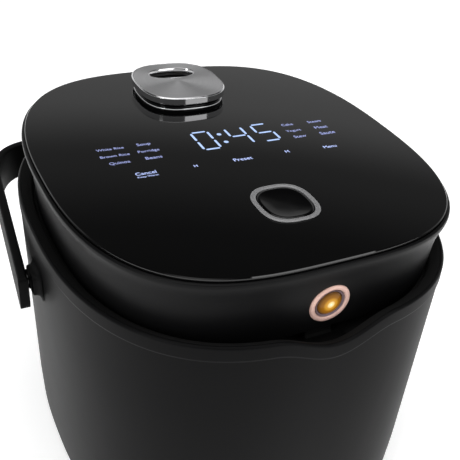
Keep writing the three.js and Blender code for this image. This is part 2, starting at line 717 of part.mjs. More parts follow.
const finish = (color, roughness, metalness = 0) => ({ color, roughness, metalness });
const SATIN_BLACK = finish(0x161617, 0.42);
const MATTE_BLACK = finish(0x101011, 0.8);
const GLOSS_BLACK = finish(0x050506, 0.05);
const STEEL = finish(0xb9bbbd, 0.28, 1);
const ALUMINIUM = finish(0xa9abad, 0.4, 1);
const NONSTICK = finish(0x2b2b2d, 0.5, 0.2);
const SILICONE = finish(0xd8d4cc, 0.6);
const RUBBER = finish(0x1b1b1b, 0.9);
const COPPER = finish(0xdebcae, 0.25, 1);
const GREY_PLASTIC = finish(0x6e5a5f, 0.5);
const AMBER = finish(0xe08a1c, 0.1);
const TRIM_GREY = finish(0x77797c, 0.35, 0.8);
const BOARD_GREEN = finish(0x1f4a34, 0.6);
const BRASS = finish(0xb08d4a, 0.35, 1);

const assembly = new THREE.Group();

function add(name, geometry, look, x = 0, y = 0) {
  const material = new THREE.MeshStandardMaterial(look);
  const mesh = new THREE.Mesh(closed(geometry), material);
  mesh.name = name;
  mesh.position.set(x, y, 0);
  assembly.add(mesh);
}

add("outer_shell", outerShell(), SATIN_BLACK);
add("upper_collar", upperCollar(), MATTE_BLACK);
add("inner_liner", innerLiner(), ALUMINIUM);
add("inner_pot", innerPot(), NONSTICK);
add("heating_plate", heatingPlate(), ALUMINIUM);
add("heating_element", heatingElement(), STEEL);
add("sensor_guide", sensorGuide(), STEEL);
add("sensor_seat", sensorSeat(), MATTE_BLACK);
add("pot_sensor", potSensor(), ALUMINIUM);
add("sensor_spring", sensorSpring(), STEEL);
add("base_plate", basePlate(), MATTE_BLACK);
for (const [end, sy] of [["front", -1], ["rear", 1]]) {
  for (const [hand, sx] of [["left", -1], ["right", 1]]) {
    add(`foot_${end}_${hand}`, foot(), RUBBER, sx * FOOT_X, sy * FOOT_Y);
  }
}
add("power_board", powerBoard(), BOARD_GREEN);
add("power_inlet", powerInlet(), MATTE_BLACK);
for (const [wire, x, rise] of [["live", -7, -2.4], ["neutral", 7, -2.4], ["earth", 0, 2.4]]) {
  add(`inlet_pin_${wire}`, inletPin().translate(0, 0, INLET_Z + rise), BRASS, x, INLET_BACK - 11.8);
}
add("hinge_tower_left", hingeTower(-1), SATIN_BLACK);
add("hinge_tower_right", hingeTower(1), SATIN_BLACK);
add("hinge_pin", hingePin(), STEEL);
add("hinge_spring", hingeSpring(), STEEL);
add("latch_strike", latchStrike(), STEEL);
for (const [hand, sign] of [["left", -1], ["right", 1]]) {
  add(`handle_boss_${hand}`, handleBoss(sign), SATIN_BLACK);
  add(`handle_pin_${hand}`, handlePin(sign), STEEL);
}
add("handle_bail", handleBail(), SATIN_BLACK);
add("lid_shell", lidShell(), SATIN_BLACK);
add("glass_panel", glassPanel(), GLOSS_BLACK);
add("lid_inner_cover", lidInnerCover(), MATTE_BLACK);
add("inner_lid", innerLid(), ALUMINIUM);
add("sealing_gasket", sealingGasket(), SILICONE);
add("lid_hinge_leaf", lidHingeLeaf(), SATIN_BLACK);
add("display_board", displayBoard(), BOARD_GREEN);
add("lamp_trim_ring", lampTrimRing(), COPPER);
add("lamp_bezel", lampBezel(), GREY_PLASTIC);
add("lamp_lens", lampLens(), AMBER);
add("lamp_board", lampBoard(), BOARD_GREEN);
add("button_trim_ring", buttonTrimRing(), TRIM_GREY);
add("button_guide", buttonGuide(), MATTE_BLACK);
add("release_button", releaseButton(), GLOSS_BLACK);
add("button_spring", buttonSpring(), STEEL);
add("latch_slider", latchSlider(), MATTE_BLACK);
add("steam_tube", steamTube(), SILICONE);
add("pressure_valve", pressureValve(), STEEL);
add("vent_trim_ring", ventTrimRing(), STEEL);
add("cap_body", capBody(), MATTE_BLACK);
add("cap_seal", capSeal(), SILICONE);
add("cap_baffle", capBaffle(), MATTE_BLACK);
add("cap_plate", capPlate(), STEEL);

// The origin is on the table under the middle of the whole footprint, bail included.
const footprint = new THREE.Box3().setFromObject(assembly);
assembly.position.y = -(footprint.min.y + footprint.max.y) / 2;

const cooker = new THREE.Group();
cooker.add(assembly);

export default cooker;
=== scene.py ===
# %% [markdown]
# # Electric pressure cooker
# The cooker stands on a table: a rounded-square body, a hinged lid with a black glass top, a steel
# steam cap, a lamp in the lid's front wall and a strap handle folded to the back.
# The frame gives every place and size, so the first cell loads it and keeps its box.

# %% Load the frame
import json
import math

import bmesh
import bpy
import numpy as np
from mathutils import Matrix, Vector

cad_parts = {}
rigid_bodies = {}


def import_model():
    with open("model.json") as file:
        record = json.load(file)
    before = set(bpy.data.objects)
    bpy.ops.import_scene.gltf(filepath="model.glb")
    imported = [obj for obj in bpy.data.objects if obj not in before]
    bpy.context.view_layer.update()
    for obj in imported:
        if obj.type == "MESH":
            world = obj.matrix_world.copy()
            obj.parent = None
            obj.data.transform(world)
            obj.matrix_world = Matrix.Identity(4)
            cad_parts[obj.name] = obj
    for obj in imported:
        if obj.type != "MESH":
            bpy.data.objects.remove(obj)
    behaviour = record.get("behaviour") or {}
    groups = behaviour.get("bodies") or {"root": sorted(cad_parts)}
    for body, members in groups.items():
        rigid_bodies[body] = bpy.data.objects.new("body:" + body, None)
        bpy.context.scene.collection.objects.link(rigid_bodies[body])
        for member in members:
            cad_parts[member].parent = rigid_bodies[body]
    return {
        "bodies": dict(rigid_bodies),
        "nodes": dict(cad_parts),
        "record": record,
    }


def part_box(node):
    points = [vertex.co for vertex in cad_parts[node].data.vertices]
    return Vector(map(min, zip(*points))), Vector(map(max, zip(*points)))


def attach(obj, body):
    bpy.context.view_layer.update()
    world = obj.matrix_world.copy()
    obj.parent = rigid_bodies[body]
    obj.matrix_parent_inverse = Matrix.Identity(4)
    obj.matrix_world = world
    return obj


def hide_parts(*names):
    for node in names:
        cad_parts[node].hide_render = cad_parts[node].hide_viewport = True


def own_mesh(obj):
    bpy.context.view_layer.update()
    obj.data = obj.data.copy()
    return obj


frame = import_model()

kept = {*frame["nodes"].values(), *frame["bodies"].values()}
for spare in [item for item in bpy.data.objects if item not in kept]:
    bpy.data.objects.remove(spare)
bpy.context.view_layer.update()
MM = 0.001

# %% [markdown]
# ## Places that the pieces share
# Sizes are easiest to read in millimetres, so the frame's metres are turned into them once.
# The body's plan is centred on the pot, a little in front of the origin, because the handle
# stands out behind.

# %% Read the main places from the frame
def low(node):
    """Lowest corner of a CAD node, in millimetres."""
    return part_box(node)[0] / MM


def high(node):
    """Highest corner of a CAD node, in millimetres."""
    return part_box(node)[1] / MM


def middle(node):
    return (low(node) + high(node)) / 2


HEIGHT = high("glass_panel").z
RIM = high("outer_shell").z
BODY_Y = middle("outer_shell").y
BUTTON_AT = middle("button_trim_ring")
CAP_AT = middle("cap_plate")
PIVOT_AT = middle("handle_pin_left")
POT_FLOOR = low("inner_pot").z
print(f"height {HEIGHT:.1f}, rim {RIM:.1f}, body centre at y {BODY_Y:.1f}")


def outline(node, side, front, back, grow=0.0):
    """Half sizes of a CAD node's plan and the powers that set how square each side is."""
    half = (high(node) - low(node)) / 2
    return {"Half Width": half.x + grow, "Half Depth": half.y + grow, "Side Power": side,
            "Front Power": front, "Back Power": back}


BODY = outline("outer_shell", 2.73, 2.5, 2.5)
LID = outline("lid_shell", 3.29, 2.68, 2.46)
BUTTON = outline("button_trim_ring", 2.7, 2.7, 2.7)
CAP = outline("cap_plate", 2.7, 2.7, 2.7)
ROUND = {"Half Width": 1.0, "Half Depth": 1.0, "Side Power": 2.0, "Front Power": 2.0,
         "Back Power": 2.0}

# %% [markdown]
# ## The camera
# The cooker is seen from its front left, from above, with a slightly tilted camera. The camera
# is placed round the middle of the glass from an azimuth, an elevation and a roll.

# %% Camera
AZIMUTH = math.radians(-33.986)
ELEVATION = math.radians(35.475)
ROLL = math.radians(8.03)
DISTANCE = 380.4
AIM = Vector((-26.7, -129.9, 0.0))
FOCAL_LENGTH = 57.2
SHIFT = (-0.1345, 0.0754)


def add_camera():
    backward = Vector((math.sin(AZIMUTH) * math.cos(ELEVATION),
                       -math.cos(AZIMUTH) * math.cos(ELEVATION), math.sin(ELEVATION)))
    level_right = Vector((math.cos(AZIMUTH), math.sin(AZIMUTH), 0.0))
    level_up = backward.cross(level_right)
    right = math.cos(ROLL) * level_right + math.sin(ROLL) * level_up
    up = math.cos(ROLL) * level_up - math.sin(ROLL) * level_right
    lens = bpy.data.cameras.new("camera")
    lens.sensor_width = 36.0
    lens.lens = FOCAL_LENGTH
    lens.shift_x, lens.shift_y = SHIFT
    lens.clip_start = 0.01
    camera = bpy.data.objects.new("camera", lens)
    bpy.context.scene.collection.objects.link(camera)
    glass_middle = Vector((0.0, BODY_Y, HEIGHT))
    spot = Matrix.Translation((glass_middle + AIM + DISTANCE * backward) * MM)
    camera.matrix_world = spot @ Matrix((right, up, backward)).transposed().to_4x4()
    bpy.context.scene.camera = camera
    return camera


print("camera at", [round(v, 3) for v in add_camera().matrix_world.translation])

# %% [markdown]
# ## Node helpers
# Trees for shapes and for materials are both built in code. Small helpers keep that readable: one
# adds a node, one sets an input or links it, one makes a maths node, one opens a tree with named
# sockets and one ends a shape tree. Writing every link out by hand would bury the idea of a tree.

# %% Helpers for node trees
def put(tree, kind, _props=None, **values):
    """A new node: _props are its own settings, values are its inputs by name, links or numbers."""
    node = tree.nodes.new(kind)
    for key, value in (_props or {}).items():
        setattr(node, key, value)
    for key, value in values.items():
        feed(tree, node.inputs[key.replace("_", " ")], value)
    return node


def feed(tree, socket, value):
    if isinstance(value, bpy.types.NodeSocket):
        tree.links.new(value, socket)
    else:
        socket.default_value = value


def calc(tree, operation, *values):
    """One maths node; values are sockets or numbers."""
    node = tree.nodes.new("ShaderNodeMath")
    node.operation = operation
    for socket, value in zip(node.inputs, values):
        feed(tree, socket, value)
    return node.outputs[0]


def tree_with(kind, name, inputs, outputs):
    """A new node tree with named sockets, given as (name, type, default)."""
    tree = bpy.data.node_groups.new(name, kind)
    for label, socket_type, default in inputs:
        socket = tree.interface.new_socket(label, in_out="INPUT", socket_type=socket_type)
        if default is not None:
            socket.default_value = default
    for label, socket_type in outputs:
        tree.interface.new_socket(label, in_out="OUTPUT", socket_type=socket_type)
    return tree, tree.nodes.new("NodeGroupInput").outputs, tree.nodes.new("NodeGroupOutput")


def end_tree(tree, geometry, given, out):
    """Every shape tree ends this way: real geometry, painted with the given material."""
    real = put(tree, "GeometryNodeRealizeInstances", Geometry=geometry)
    painted = put(tree, "GeometryNodeSetMaterial", Geometry=real.outputs[0],
                  Material=given["Material"])
    feed(tree, out.inputs[0], painted.outputs[0])
    return tree


# %% Run a tree and keep its result as a plain mesh
def add_object(name, data):
    item = bpy.data.objects.new(name, data)
    bpy.context.scene.collection.objects.link(item)
    return item


def evaluated_mesh(item):
    """A mesh of its own from an object's modifiers or text."""
    bpy.context.view_layer.update()
    evaluated = item.evaluated_get(bpy.context.evaluated_depsgraph_get())
    return bpy.data.meshes.new_from_object(evaluated)


def run_tree(name, mesh, tree, **inputs):
    """Build a mesh with a geometry tree and return it as a plain object without a modifier."""
    host = add_object(name + "_host", mesh)
    modifier = host.modifiers.new("build", "NODES")
    modifier.node_group = tree
    names = {item.name: item.identifier for item in tree.interface.items_tree
             if item.item_type == "SOCKET" and item.in_out == "INPUT"}
    for label, value in inputs.items():
        modifier[names[label]] = value
    made = evaluated_mesh(host)
    bpy.data.objects.remove(host)
    return add_object(name, made)


# %% [markdown]
# ## Effects that several finishes share
# Moulded plastic is never a flat colour: its tool leaves a fine grain, and hands leave slightly
# smoother and rougher patches. Brushed metal has fine rings round the piece's middle.
# Each effect is a node group, so one recipe serves every material with its own values.

# %% Steps that several shader trees share
def arm_from(tree, centre):
    """The arrow from a centre to the point being shaded."""
    arm = put(tree, "ShaderNodeVectorMath", {"operation": "SUBTRACT"})
    feed(tree, arm.inputs[0], put(tree, "ShaderNodeTexCoord").outputs["Object"])
    feed(tree, arm.inputs[1], centre)
    return arm.outputs[0]


def distance(tree, a, b):
    """Length of an arrow from two of its parts."""
    return calc(tree, "SQRT", calc(tree, "ADD", calc(tree, "MULTIPLY", a, a),
                                   calc(tree, "MULTIPLY", b, b)))


def times(tree, color, by):
    """A colour multiplied by a value or by another colour."""
    node = put(tree, "ShaderNodeMix", {"data_type": "RGBA", "blend_type": "MULTIPLY"})
    node.inputs["Factor"].default_value = 1.0
    feed(tree, node.inputs[6], color)
    feed(tree, node.inputs[7], by)
    return node.outputs[2]


def color_ramp(tree, factor, stops):
    """A smooth ramp through (place, colour) stops."""
    ramp = put(tree, "ShaderNodeValToRGB", Fac=factor)
    ramp.color_ramp.interpolation = "EASE"
    ends = ramp.color_ramp.elements
    for end, (spot, color) in zip(ends, (stops[0], stops[-1])):
        end.position = spot
        end.color = (*color, 1)
    for spot, color in stops[1:-1]:
        ends.new(spot).color = (*color, 1)
    return ramp.outputs[0]


# %% Fine grain
def make_grain():
    tree, given, out = tree_with("ShaderNodeTree", "moulded_grain",
                                 [("Grain per metre", "NodeSocketFloat", 2200.0)],
                                 [("Height", "NodeSocketFloat"), ("Shade", "NodeSocketFloat")])
    place = put(tree, "ShaderNodeTexCoord").outputs["Object"]
    fine = put(tree, "ShaderNodeTexNoise", Vector=place, Scale=given["Grain per metre"], Detail=2.0,
               Roughness=0.55)
    coarse = put(tree, "ShaderNodeTexNoise", Vector=place,
                 Scale=calc(tree, "MULTIPLY", given["Grain per metre"], 0.31), Detail=1.0)
    height = calc(tree, "ADD", calc(tree, "MULTIPLY", fine.outputs[0], 0.7),
                  calc(tree, "MULTIPLY", coarse.outputs[0], 0.3))
    shade = calc(tree, "ADD", 0.86, calc(tree, "MULTIPLY", height, 0.28))
    feed(tree, out.inputs["Height"], height)
    feed(tree, out.inputs["Shade"], shade)
    return tree


# %% Handling: large soft patches in the roughness
def make_handling():
    tree, given, out = tree_with("ShaderNodeTree", "handled_surface",
                                 [("Roughness", "NodeSocketFloat", 0.4),
                                  ("Spread", "NodeSocketFloat", 0.08),
                                  ("Patches per metre", "NodeSocketFloat", 22.0)],
                                 [("Roughness", "NodeSocketFloat")])
    place = put(tree, "ShaderNodeTexCoord").outputs["Object"]
    patch = put(tree, "ShaderNodeTexNoise", Vector=place, Scale=given["Patches per metre"], Detail=4.0,
                Roughness=0.6)
    swing = calc(tree, "MULTIPLY", calc(tree, "SUBTRACT", patch.outputs[0], 0.5), given["Spread"])
    feed(tree, out.inputs["Roughness"], calc(tree, "ADD", given["Roughness"], swing))
    return tree


# %% Rings brushed round a middle
def make_brushing():
    tree, given, out = tree_with("ShaderNodeTree", "brushed_rings",
                                 [("Middle", "NodeSocketVector", None),
                                  ("Rings per metre", "NodeSocketFloat", 2600.0)],
                                 [("Height", "NodeSocketFloat"), ("Shade", "NodeSocketFloat")])
    parts = put(tree, "ShaderNodeSeparateXYZ", Vector=arm_from(tree, given["Middle"])).outputs
    radius = distance(tree, parts[0], parts[1])
    turn = calc(tree, "ARCTAN2", parts[1], parts[0])
    lane = put(tree, "ShaderNodeCombineXYZ", X=calc(tree, "MULTIPLY", radius, given["Rings per metre"]),
               Y=calc(tree, "MULTIPLY", turn, 0.6), Z=0.0)
    scratch = put(tree, "ShaderNodeTexNoise", Vector=lane.outputs[0], Scale=1.0, Detail=3.0,
                  Roughness=0.7)
    feed(tree, out.inputs["Height"], scratch.outputs[0])
    shade = calc(tree, "ADD", 0.8, calc(tree, "MULTIPLY", scratch.outputs[0], 0.4))
    feed(tree, out.inputs["Shade"], shade)
    return tree


GRAIN = make_grain()
HANDLING = make_handling()
BRUSHING = make_brushing()

# %% [markdown]
# ## Finishes
# One function makes a finish from a colour, a roughness and the effects above. Turned and spun
# metals take the brushed rings and everything else takes the grain, while all take the handling.
# Lit symbols glow, so a second function gives them light instead of grain.

# %% Make a finish
def new_material(name):
    """A material with its tree and its Principled shader."""
    material = bpy.data.materials.new(name)
    material.use_nodes = True
    return material, material.node_tree, material.node_tree.nodes["Principled BSDF"]


def group(tree, shared, **values):
    node = tree.nodes.new("ShaderNodeGroup")
    node.node_tree = shared
    for key, value in values.items():
        feed(tree, node.inputs[key.replace("_", " ")], value)
    return node


def follow_rings(tree, shader, around):
    """Stretch the highlight across the brushed rings, which run round the given middle."""
    across = put(tree, "ShaderNodeVectorMath", {"operation": "CROSS_PRODUCT"})
    across.inputs[0].default_value = (0.0, 0.0, 1.0)
    feed(tree, across.inputs[1], arm_from(tree, around))
    along = put(tree, "ShaderNodeVectorTransform", {
        "vector_type": "VECTOR", "convert_from": "OBJECT", "convert_to": "WORLD"},
        Vector=across.outputs[0])
    feed(tree, shader.inputs["Tangent"], along.outputs[0])


def finish(name, color, roughness, metallic=0.0, spread=0.06, grain=0.0, grain_per_metre=2200.0,
           brushed_at=None, brush=0.0, **sockets):
    """A Principled material; grain and brush are bump depths in millimetres."""
    material, tree, shader = new_material(name)
    shader.inputs["Metallic"].default_value = metallic
    for key, value in sockets.items():
        shader.inputs[key.replace("_", " ")].default_value = value
    hands = group(tree, HANDLING, Roughness=roughness, Spread=spread)
    feed(tree, shader.inputs["Roughness"], hands.outputs[0])
    if brushed_at is not None:
        effect = group(tree, BRUSHING, Middle=brushed_at)
        depth = brush
        follow_rings(tree, shader, brushed_at)
    else:
        effect = group(tree, GRAIN, Grain_per_metre=grain_per_metre)
        depth = grain
    tint = times(tree, (*color, 1.0), effect.outputs["Shade"])
    feed(tree, shader.inputs["Base Color"], tint)
    if depth:
        bump = put(tree, "ShaderNodeBump", Strength=1.0, Distance=depth * MM,
                   Height=effect.outputs["Height"])
        feed(tree, shader.inputs["Normal"], bump.outputs[0])
    return material


def glow(name, color, strength):
    """Light behind a printed symbol, with the faint unevenness of real diodes."""
    material, tree, shader = new_material(name)
    shader.inputs["Roughness"].default_value = 0.4
    shader.inputs["Base Color"].default_value = (0.02, 0.02, 0.03, 1.0)
    shader.inputs["Emission Strength"].default_value = strength
    place = put(tree, "ShaderNodeTexCoord").outputs["Object"]
    uneven = put(tree, "ShaderNodeTexNoise", Vector=place, Scale=420.0, Detail=1.0)
    level = calc(tree, "ADD", 0.75, calc(tree, "MULTIPLY", uneven.outputs[0], 0.5))
    feed(tree, shader.inputs["Emission Color"], times(tree, (*color, 1.0), level))
    return material


# %% The cooker's finishes
cap_middle = tuple(Vector((CAP_AT.x, CAP_AT.y, 0.0)) * MM)
FINISH = {
    "satin_black": finish("satin_black", (0.0034, 0.0034, 0.0036), 0.42, grain=0.004,
                          Specular_IOR_Level=0.05),
    "satin_black_lid": finish("satin_black_lid", (0.0034, 0.0034, 0.0036), 0.36, grain=0.003,
                              Specular_IOR_Level=0.10),
    "bail_black": finish("bail_black", (0.0030, 0.0030, 0.0031), 0.50, grain=0.006,
                         Specular_IOR_Level=0.06),
    "matte_black": finish("matte_black", (0.0110, 0.0110, 0.0110), 0.75, grain=0.05,
                          grain_per_metre=1500.0, Specular_IOR_Level=0.12),
    "black_glass": finish("black_glass", (0.0012, 0.0012, 0.0013), 0.035, spread=0.02, IOR=1.5),
    "gloss_black": finish("gloss_black", (0.0012, 0.0012, 0.0014), 0.07, spread=0.03,
                          Specular_IOR_Level=0.3),
    "brushed_steel": finish("brushed_steel", (0.60, 0.60, 0.61), 0.32, 1.0, brushed_at=cap_middle,
                            brush=0.004, Anisotropic=0.8),
    "mirror_steel": finish("mirror_steel", (0.70, 0.70, 0.71), 0.07, 1.0, spread=0.03, grain=0.0004),
    "bright_steel": finish("bright_steel", (0.62, 0.62, 0.63), 0.14, 1.0, brushed_at=cap_middle,
                           brush=0.001),
    "satin_trim": finish("satin_trim", (0.25, 0.25, 0.255), 0.42, 0.15, grain=0.002),
    "spun_aluminium": finish("spun_aluminium", (0.56, 0.56, 0.57), 0.34, 1.0, brushed_at=(
        0.0, BODY_Y * MM, 0.0), brush=0.01),
    "nonstick": finish("nonstick", (0.030, 0.030, 0.032), 0.42, spread=0.1, grain=0.02),
    "silicone": finish("silicone", (0.58, 0.56, 0.52), 0.5, grain=0.01, Subsurface_Weight=0.2,
                       Subsurface_Radius=(0.004, 0.003, 0.002)),
    "rubber": finish("rubber", (0.016, 0.016, 0.016), 0.85, grain=0.04),
    "rose_gold": finish("rose_gold", (0.72, 0.47, 0.40), 0.42, 0.35, grain=0.001),
    "mauve": finish("mauve", (0.15, 0.10, 0.115), 0.5, grain=0.004),
    "board_green": finish("board_green", (0.012, 0.085, 0.045), 0.45, grain=0.01),
    "brass": finish("brass", (0.55, 0.36, 0.13), 0.3, 1.0, grain=0.003),
    "digit_glow": glow("digit_glow", (0.45, 0.62, 1.0), 1.15),
    "label_glow": glow("label_glow", (0.36, 0.41, 0.78), 1.15),
    "key_glow": glow("key_glow", (0.48, 0.58, 1.0), 1.35),
}
print(len(FINISH), "finishes")


# %% [markdown]
# ## The rule behind the rounded-square pieces
# The body, the lid, the button and the cap share one rule. A flat profile is carried round a
# rounded square, whose plan is |x / a| to a power plus |y / b| to a power = 1. A profile point
# sits a little inside that outline, or on a plain circle, or in between, so one Geometry Nodes
# tree makes them all. Python only lays out the profile's points as a grid with attributes, and
# the tree does the shaping. The tree can also scoop the front of a rim, as it is under the lamp.

# %% Geometry Nodes: carry a profile round a rounded square
def signed_power(tree, value, power):
    return calc(tree, "MULTIPLY", calc(tree, "SIGN", value),
                calc(tree, "POWER", calc(tree, "ABSOLUTE", value), power))


def attribute(tree, name):
    node = tree.nodes.new("GeometryNodeInputNamedAttribute")
    node.data_type = "FLOAT"
    node.inputs["Name"].default_value = name
    return node.outputs[0]


def make_sweep_tree():
    sizes = ["Half Width", "Half Depth", "Side Power", "Front Power", "Back Power", "Centre X",
             "Centre Y", "Scoop Depth", "Scoop Half", "Scoop Top", "Scoop End"]
    tree, given, out = tree_with(
        "GeometryNodeTree", "rounded_square_sweep",
        [("Geometry", "NodeSocketGeometry", None)] + [(s, "NodeSocketFloat", 1.0) for s in sizes]
        + [("Material", "NodeSocketMaterial", None)], [("Geometry", "NodeSocketGeometry")])
    turn = attribute(tree, "turn")
    inset = attribute(tree, "inset")
    radius = attribute(tree, "radius")
    share = attribute(tree, "share")
    level = attribute(tree, "level")
    cosine = calc(tree, "COSINE", turn)
    sine = calc(tree, "SINE", turn)
    in_front = calc(tree, "LESS_THAN", sine, 0.0)
    behind = calc(tree, "SUBTRACT", 1.0, in_front)
    depth_power = calc(tree, "ADD", calc(tree, "MULTIPLY", in_front, given["Front Power"]),
                       calc(tree, "MULTIPLY", behind, given["Back Power"]))
    across = signed_power(tree, cosine, calc(tree, "DIVIDE", 2.0, given["Side Power"]))
    along = signed_power(tree, sine, calc(tree, "DIVIDE", 2.0, depth_power))

    def reach(half, direction, circle, centre):
        on_outline = calc(tree, "SUBTRACT", calc(tree, "MULTIPLY", share, half), inset)
        shaped = calc(tree, "MULTIPLY", on_outline, direction)
        turned_part = calc(tree, "MULTIPLY", radius, circle)
        return calc(tree, "ADD", centre, calc(tree, "ADD", shaped, turned_part))

    x = reach(given["Half Width"], across, cosine, given["Centre X"])
    y = reach(given["Half Depth"], along, sine, given["Centre Y"])
    off_middle = calc(tree, "MINIMUM", 1.0, calc(tree, "DIVIDE", calc(tree, "ABSOLUTE", x),
                                                given["Scoop Half"]))
    bell = calc(tree, "MULTIPLY", 0.5, calc(tree, "ADD", 1.0, calc(
        tree, "COSINE", calc(tree, "MULTIPLY", math.pi, off_middle))))
    fade = put(tree, "ShaderNodeMapRange", {"interpolation_type": "SMOOTHSTEP"}, Value=level)
    feed(tree, fade.inputs["From Min"], given["Scoop End"])
    feed(tree, fade.inputs["From Max"], given["Scoop Top"])
    scoop = calc(tree, "MULTIPLY", calc(tree, "MULTIPLY", bell, fade.outputs[0]),
                 calc(tree, "MULTIPLY", in_front, given["Scoop Depth"]))
    place = put(tree, "ShaderNodeCombineXYZ", X=x, Y=y, Z=calc(tree, "SUBTRACT", level, scoop))
    scaled = put(tree, "ShaderNodeVectorMath", {"operation": "SCALE"}, Scale=MM)
    feed(tree, scaled.inputs[0], place.outputs[0])
    moved = put(tree, "GeometryNodeSetPosition", Geometry=given["Geometry"],
                Position=scaled.outputs[0])
    merged = put(tree, "GeometryNodeMergeByDistance", Geometry=moved.outputs[0], Distance=2e-6)
    return end_tree(tree, merged.outputs[0], given, out)


SWEEP = make_sweep_tree()
print("sweep tree:", len(SWEEP.nodes), "nodes")

# %% [markdown]
# ### Profiles
# A profile is a short list of corners. Each corner may be softened: it becomes a small curve,
# with one more point a little before and after it, so that the flat stretches shade flat.

# %% Corners of a profile
def at(inset, level, soft=0.0):
    """A corner this far inside the outline."""
    return np.array([1.0, inset, 0.0, level]), soft


def ring(radius, level, soft=0.0):
    """A corner on a circle."""
    return np.array([0.0, 0.0, radius, level]), soft


def soften(corners, closed):
    """Turn corners into profile points, each soft corner into a curve of its own radius."""
    points = []
    count = len(corners)
    for i, (here, soft) in enumerate(corners):
        at_end = not closed and i in (0, count - 1)
        if at_end or soft <= 0:
            points.append(here)
            continue
        before, after = corners[i - 1][0], corners[(i + 1) % count][0]
        arms = []
        for other in (before, after):
            arm = other - here
            length = np.linalg.norm([arm[1] + arm[2], arm[3]]) or 1.0
            length = max(length, np.linalg.norm(arm[3]))
            reach = min(soft / length, 0.45)
            guard = min(1.35 * reach, 0.48)
            arms.append((here + arm * reach, here + arm * guard))
        points.append(arms[0][1])
        for t in np.linspace(0, 1, 6):
            curve = (1 - t) ** 2 * arms[0][0] + 2 * t * (1 - t) * here + t ** 2 * arms[1][0]
            points.append(curve)
        points.append(arms[1][1])
    return np.array(points)


# %% Lay out the grid, run the tree and return the piece
def sweep(name, corners, shape, look, centre=(0.0, None), closed=True, steps=192, scoop=None):
    points = soften(corners, closed)
    rows = len(points)
    base = np.arange(steps) / steps * 2 * math.pi
    turn = base - 0.2 * np.sin(4 * base)
    if shape is ROUND:
        turn = base
    mesh = bpy.data.meshes.new(name)
    faces = []
    last = rows if closed else rows - 1
    for i in range(steps):
        nxt = (i + 1) % steps
        for j in range(last):
            k = (j + 1) % rows
            faces.append((i * rows + j, i * rows + k, nxt * rows + k, nxt * rows + j))
    mesh.from_pydata(np.zeros((steps * rows, 3)).tolist(), [], faces)
    columns = dict(zip(("share", "inset", "radius", "level"), np.tile(points, (steps, 1)).T))
    columns["turn"] = np.repeat(turn, rows)
    for key, values in columns.items():
        layer = mesh.attributes.new(key, "FLOAT", "POINT")
        layer.data.foreach_set("value", values.astype(np.float32))
    depth, half, top, end = scoop or (0.0, 1.0, 1.0, 0.0)
    piece = run_tree(name, mesh, SWEEP, **shape, **{
        "Centre X": centre[0], "Centre Y": BODY_Y if centre[1] is None else centre[1],
        "Scoop Depth": depth, "Scoop Half": half, "Scoop Top": top, "Scoop End": end,
        "Material": FINISH[look]})
    return tidy(piece)


def tidy(piece, sharp=math.radians(50)):
    """Weld, drop slivers, point faces outwards, shade smooth with crisp edges, drop spare layers."""
    mesh = piece.data
    work = bmesh.new()
    work.from_mesh(mesh)
    bmesh.ops.remove_doubles(work, verts=work.verts, dist=1e-6)
    bmesh.ops.dissolve_degenerate(work, dist=1e-7, edges=work.edges)
    bmesh.ops.recalc_face_normals(work, faces=work.faces)
    work.to_mesh(mesh)
    work.free()
    for key in ("share", "inset", "radius", "level", "turn"):
        if key in mesh.attributes:
            mesh.attributes.remove(mesh.attributes[key])
    mesh.shade_smooth()
    mesh.set_sharp_from_angle(angle=sharp)
    return piece


def place(piece, body, slot, *nodes):
    """Ride on a body and stand for CAD nodes. The slot argument is not used."""
    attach(piece, body)
    if nodes:
        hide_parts(*nodes)
    print(f"{piece.name}: {len(piece.data.polygons)} faces")
    return piece


# %% [markdown]
# ## The body
# The outer shell is one moulding. Its wall leans in a little towards the base, a faint crease
# runs 10 mm under the rim, and the rim dips under the lamp. The collar inside it is matte: it
# slopes down to the gap that the lid's wall sinks into, and carries the pot's flange.

# %% Outer shell and collar
SCOOP = (11.0, 40.0)
POT_DEEP = 130.3
FLANGE = POT_FLOOR + POT_DEEP

shell = sweep("outer_shell_skin", [
    at(1.3, RIM, 0.35), at(0.1, RIM - 0.9, 0.8), at(0, RIM - 5), at(0, RIM - 9.4, 0.5),
    at(0.5, RIM - 10.3, 0.5), at(0.9, RIM - 50), at(1.7, 40), at(2.6, 14, 3), at(5.2, 6.3, 1.5),
    at(7.6, 6.3), at(5.4, 14), at(4.3, 40), at(3.2, RIM - 50), at(2, RIM - 12), at(2.1, RIM, 0.2),
], BODY, "satin_black", steps=384, scoop=(*SCOOP, RIM - 18, RIM - 70))
place(shell, "cooker_body", "satin_black_plastic", "outer_shell")

collar = sweep("upper_collar_skin", [
    at(2.25, RIM - 0.15, 0.2), at(8.6, RIM - 4.2, 1.2), at(9.4, RIM - 6.5), at(9.6, FLANGE + 0.6, 0.5),
    ring(118.5, FLANGE + 0.4, 0.2), ring(118, FLANGE - 0.3), ring(110.5, FLANGE - 0.3, 0.5),
    ring(110.5, FLANGE - 3), ring(119, FLANGE - 3), at(11.4, FLANGE), at(11, RIM - 8),
    at(4, RIM - 4.2), at(2.6, RIM - 8), at(2.25, RIM - 8),
], BODY, "matte_black", steps=384, scoop=(*SCOOP, RIM - 10, RIM - 23))
place(collar, "cooker_body", "matte_black_plastic", "upper_collar")

# %% [markdown]
# ## The lid's wall
# The lid's wall flares out towards the glass in a soft hollow curve, so it catches a light band
# near the top and falls dark where it enters the collar.

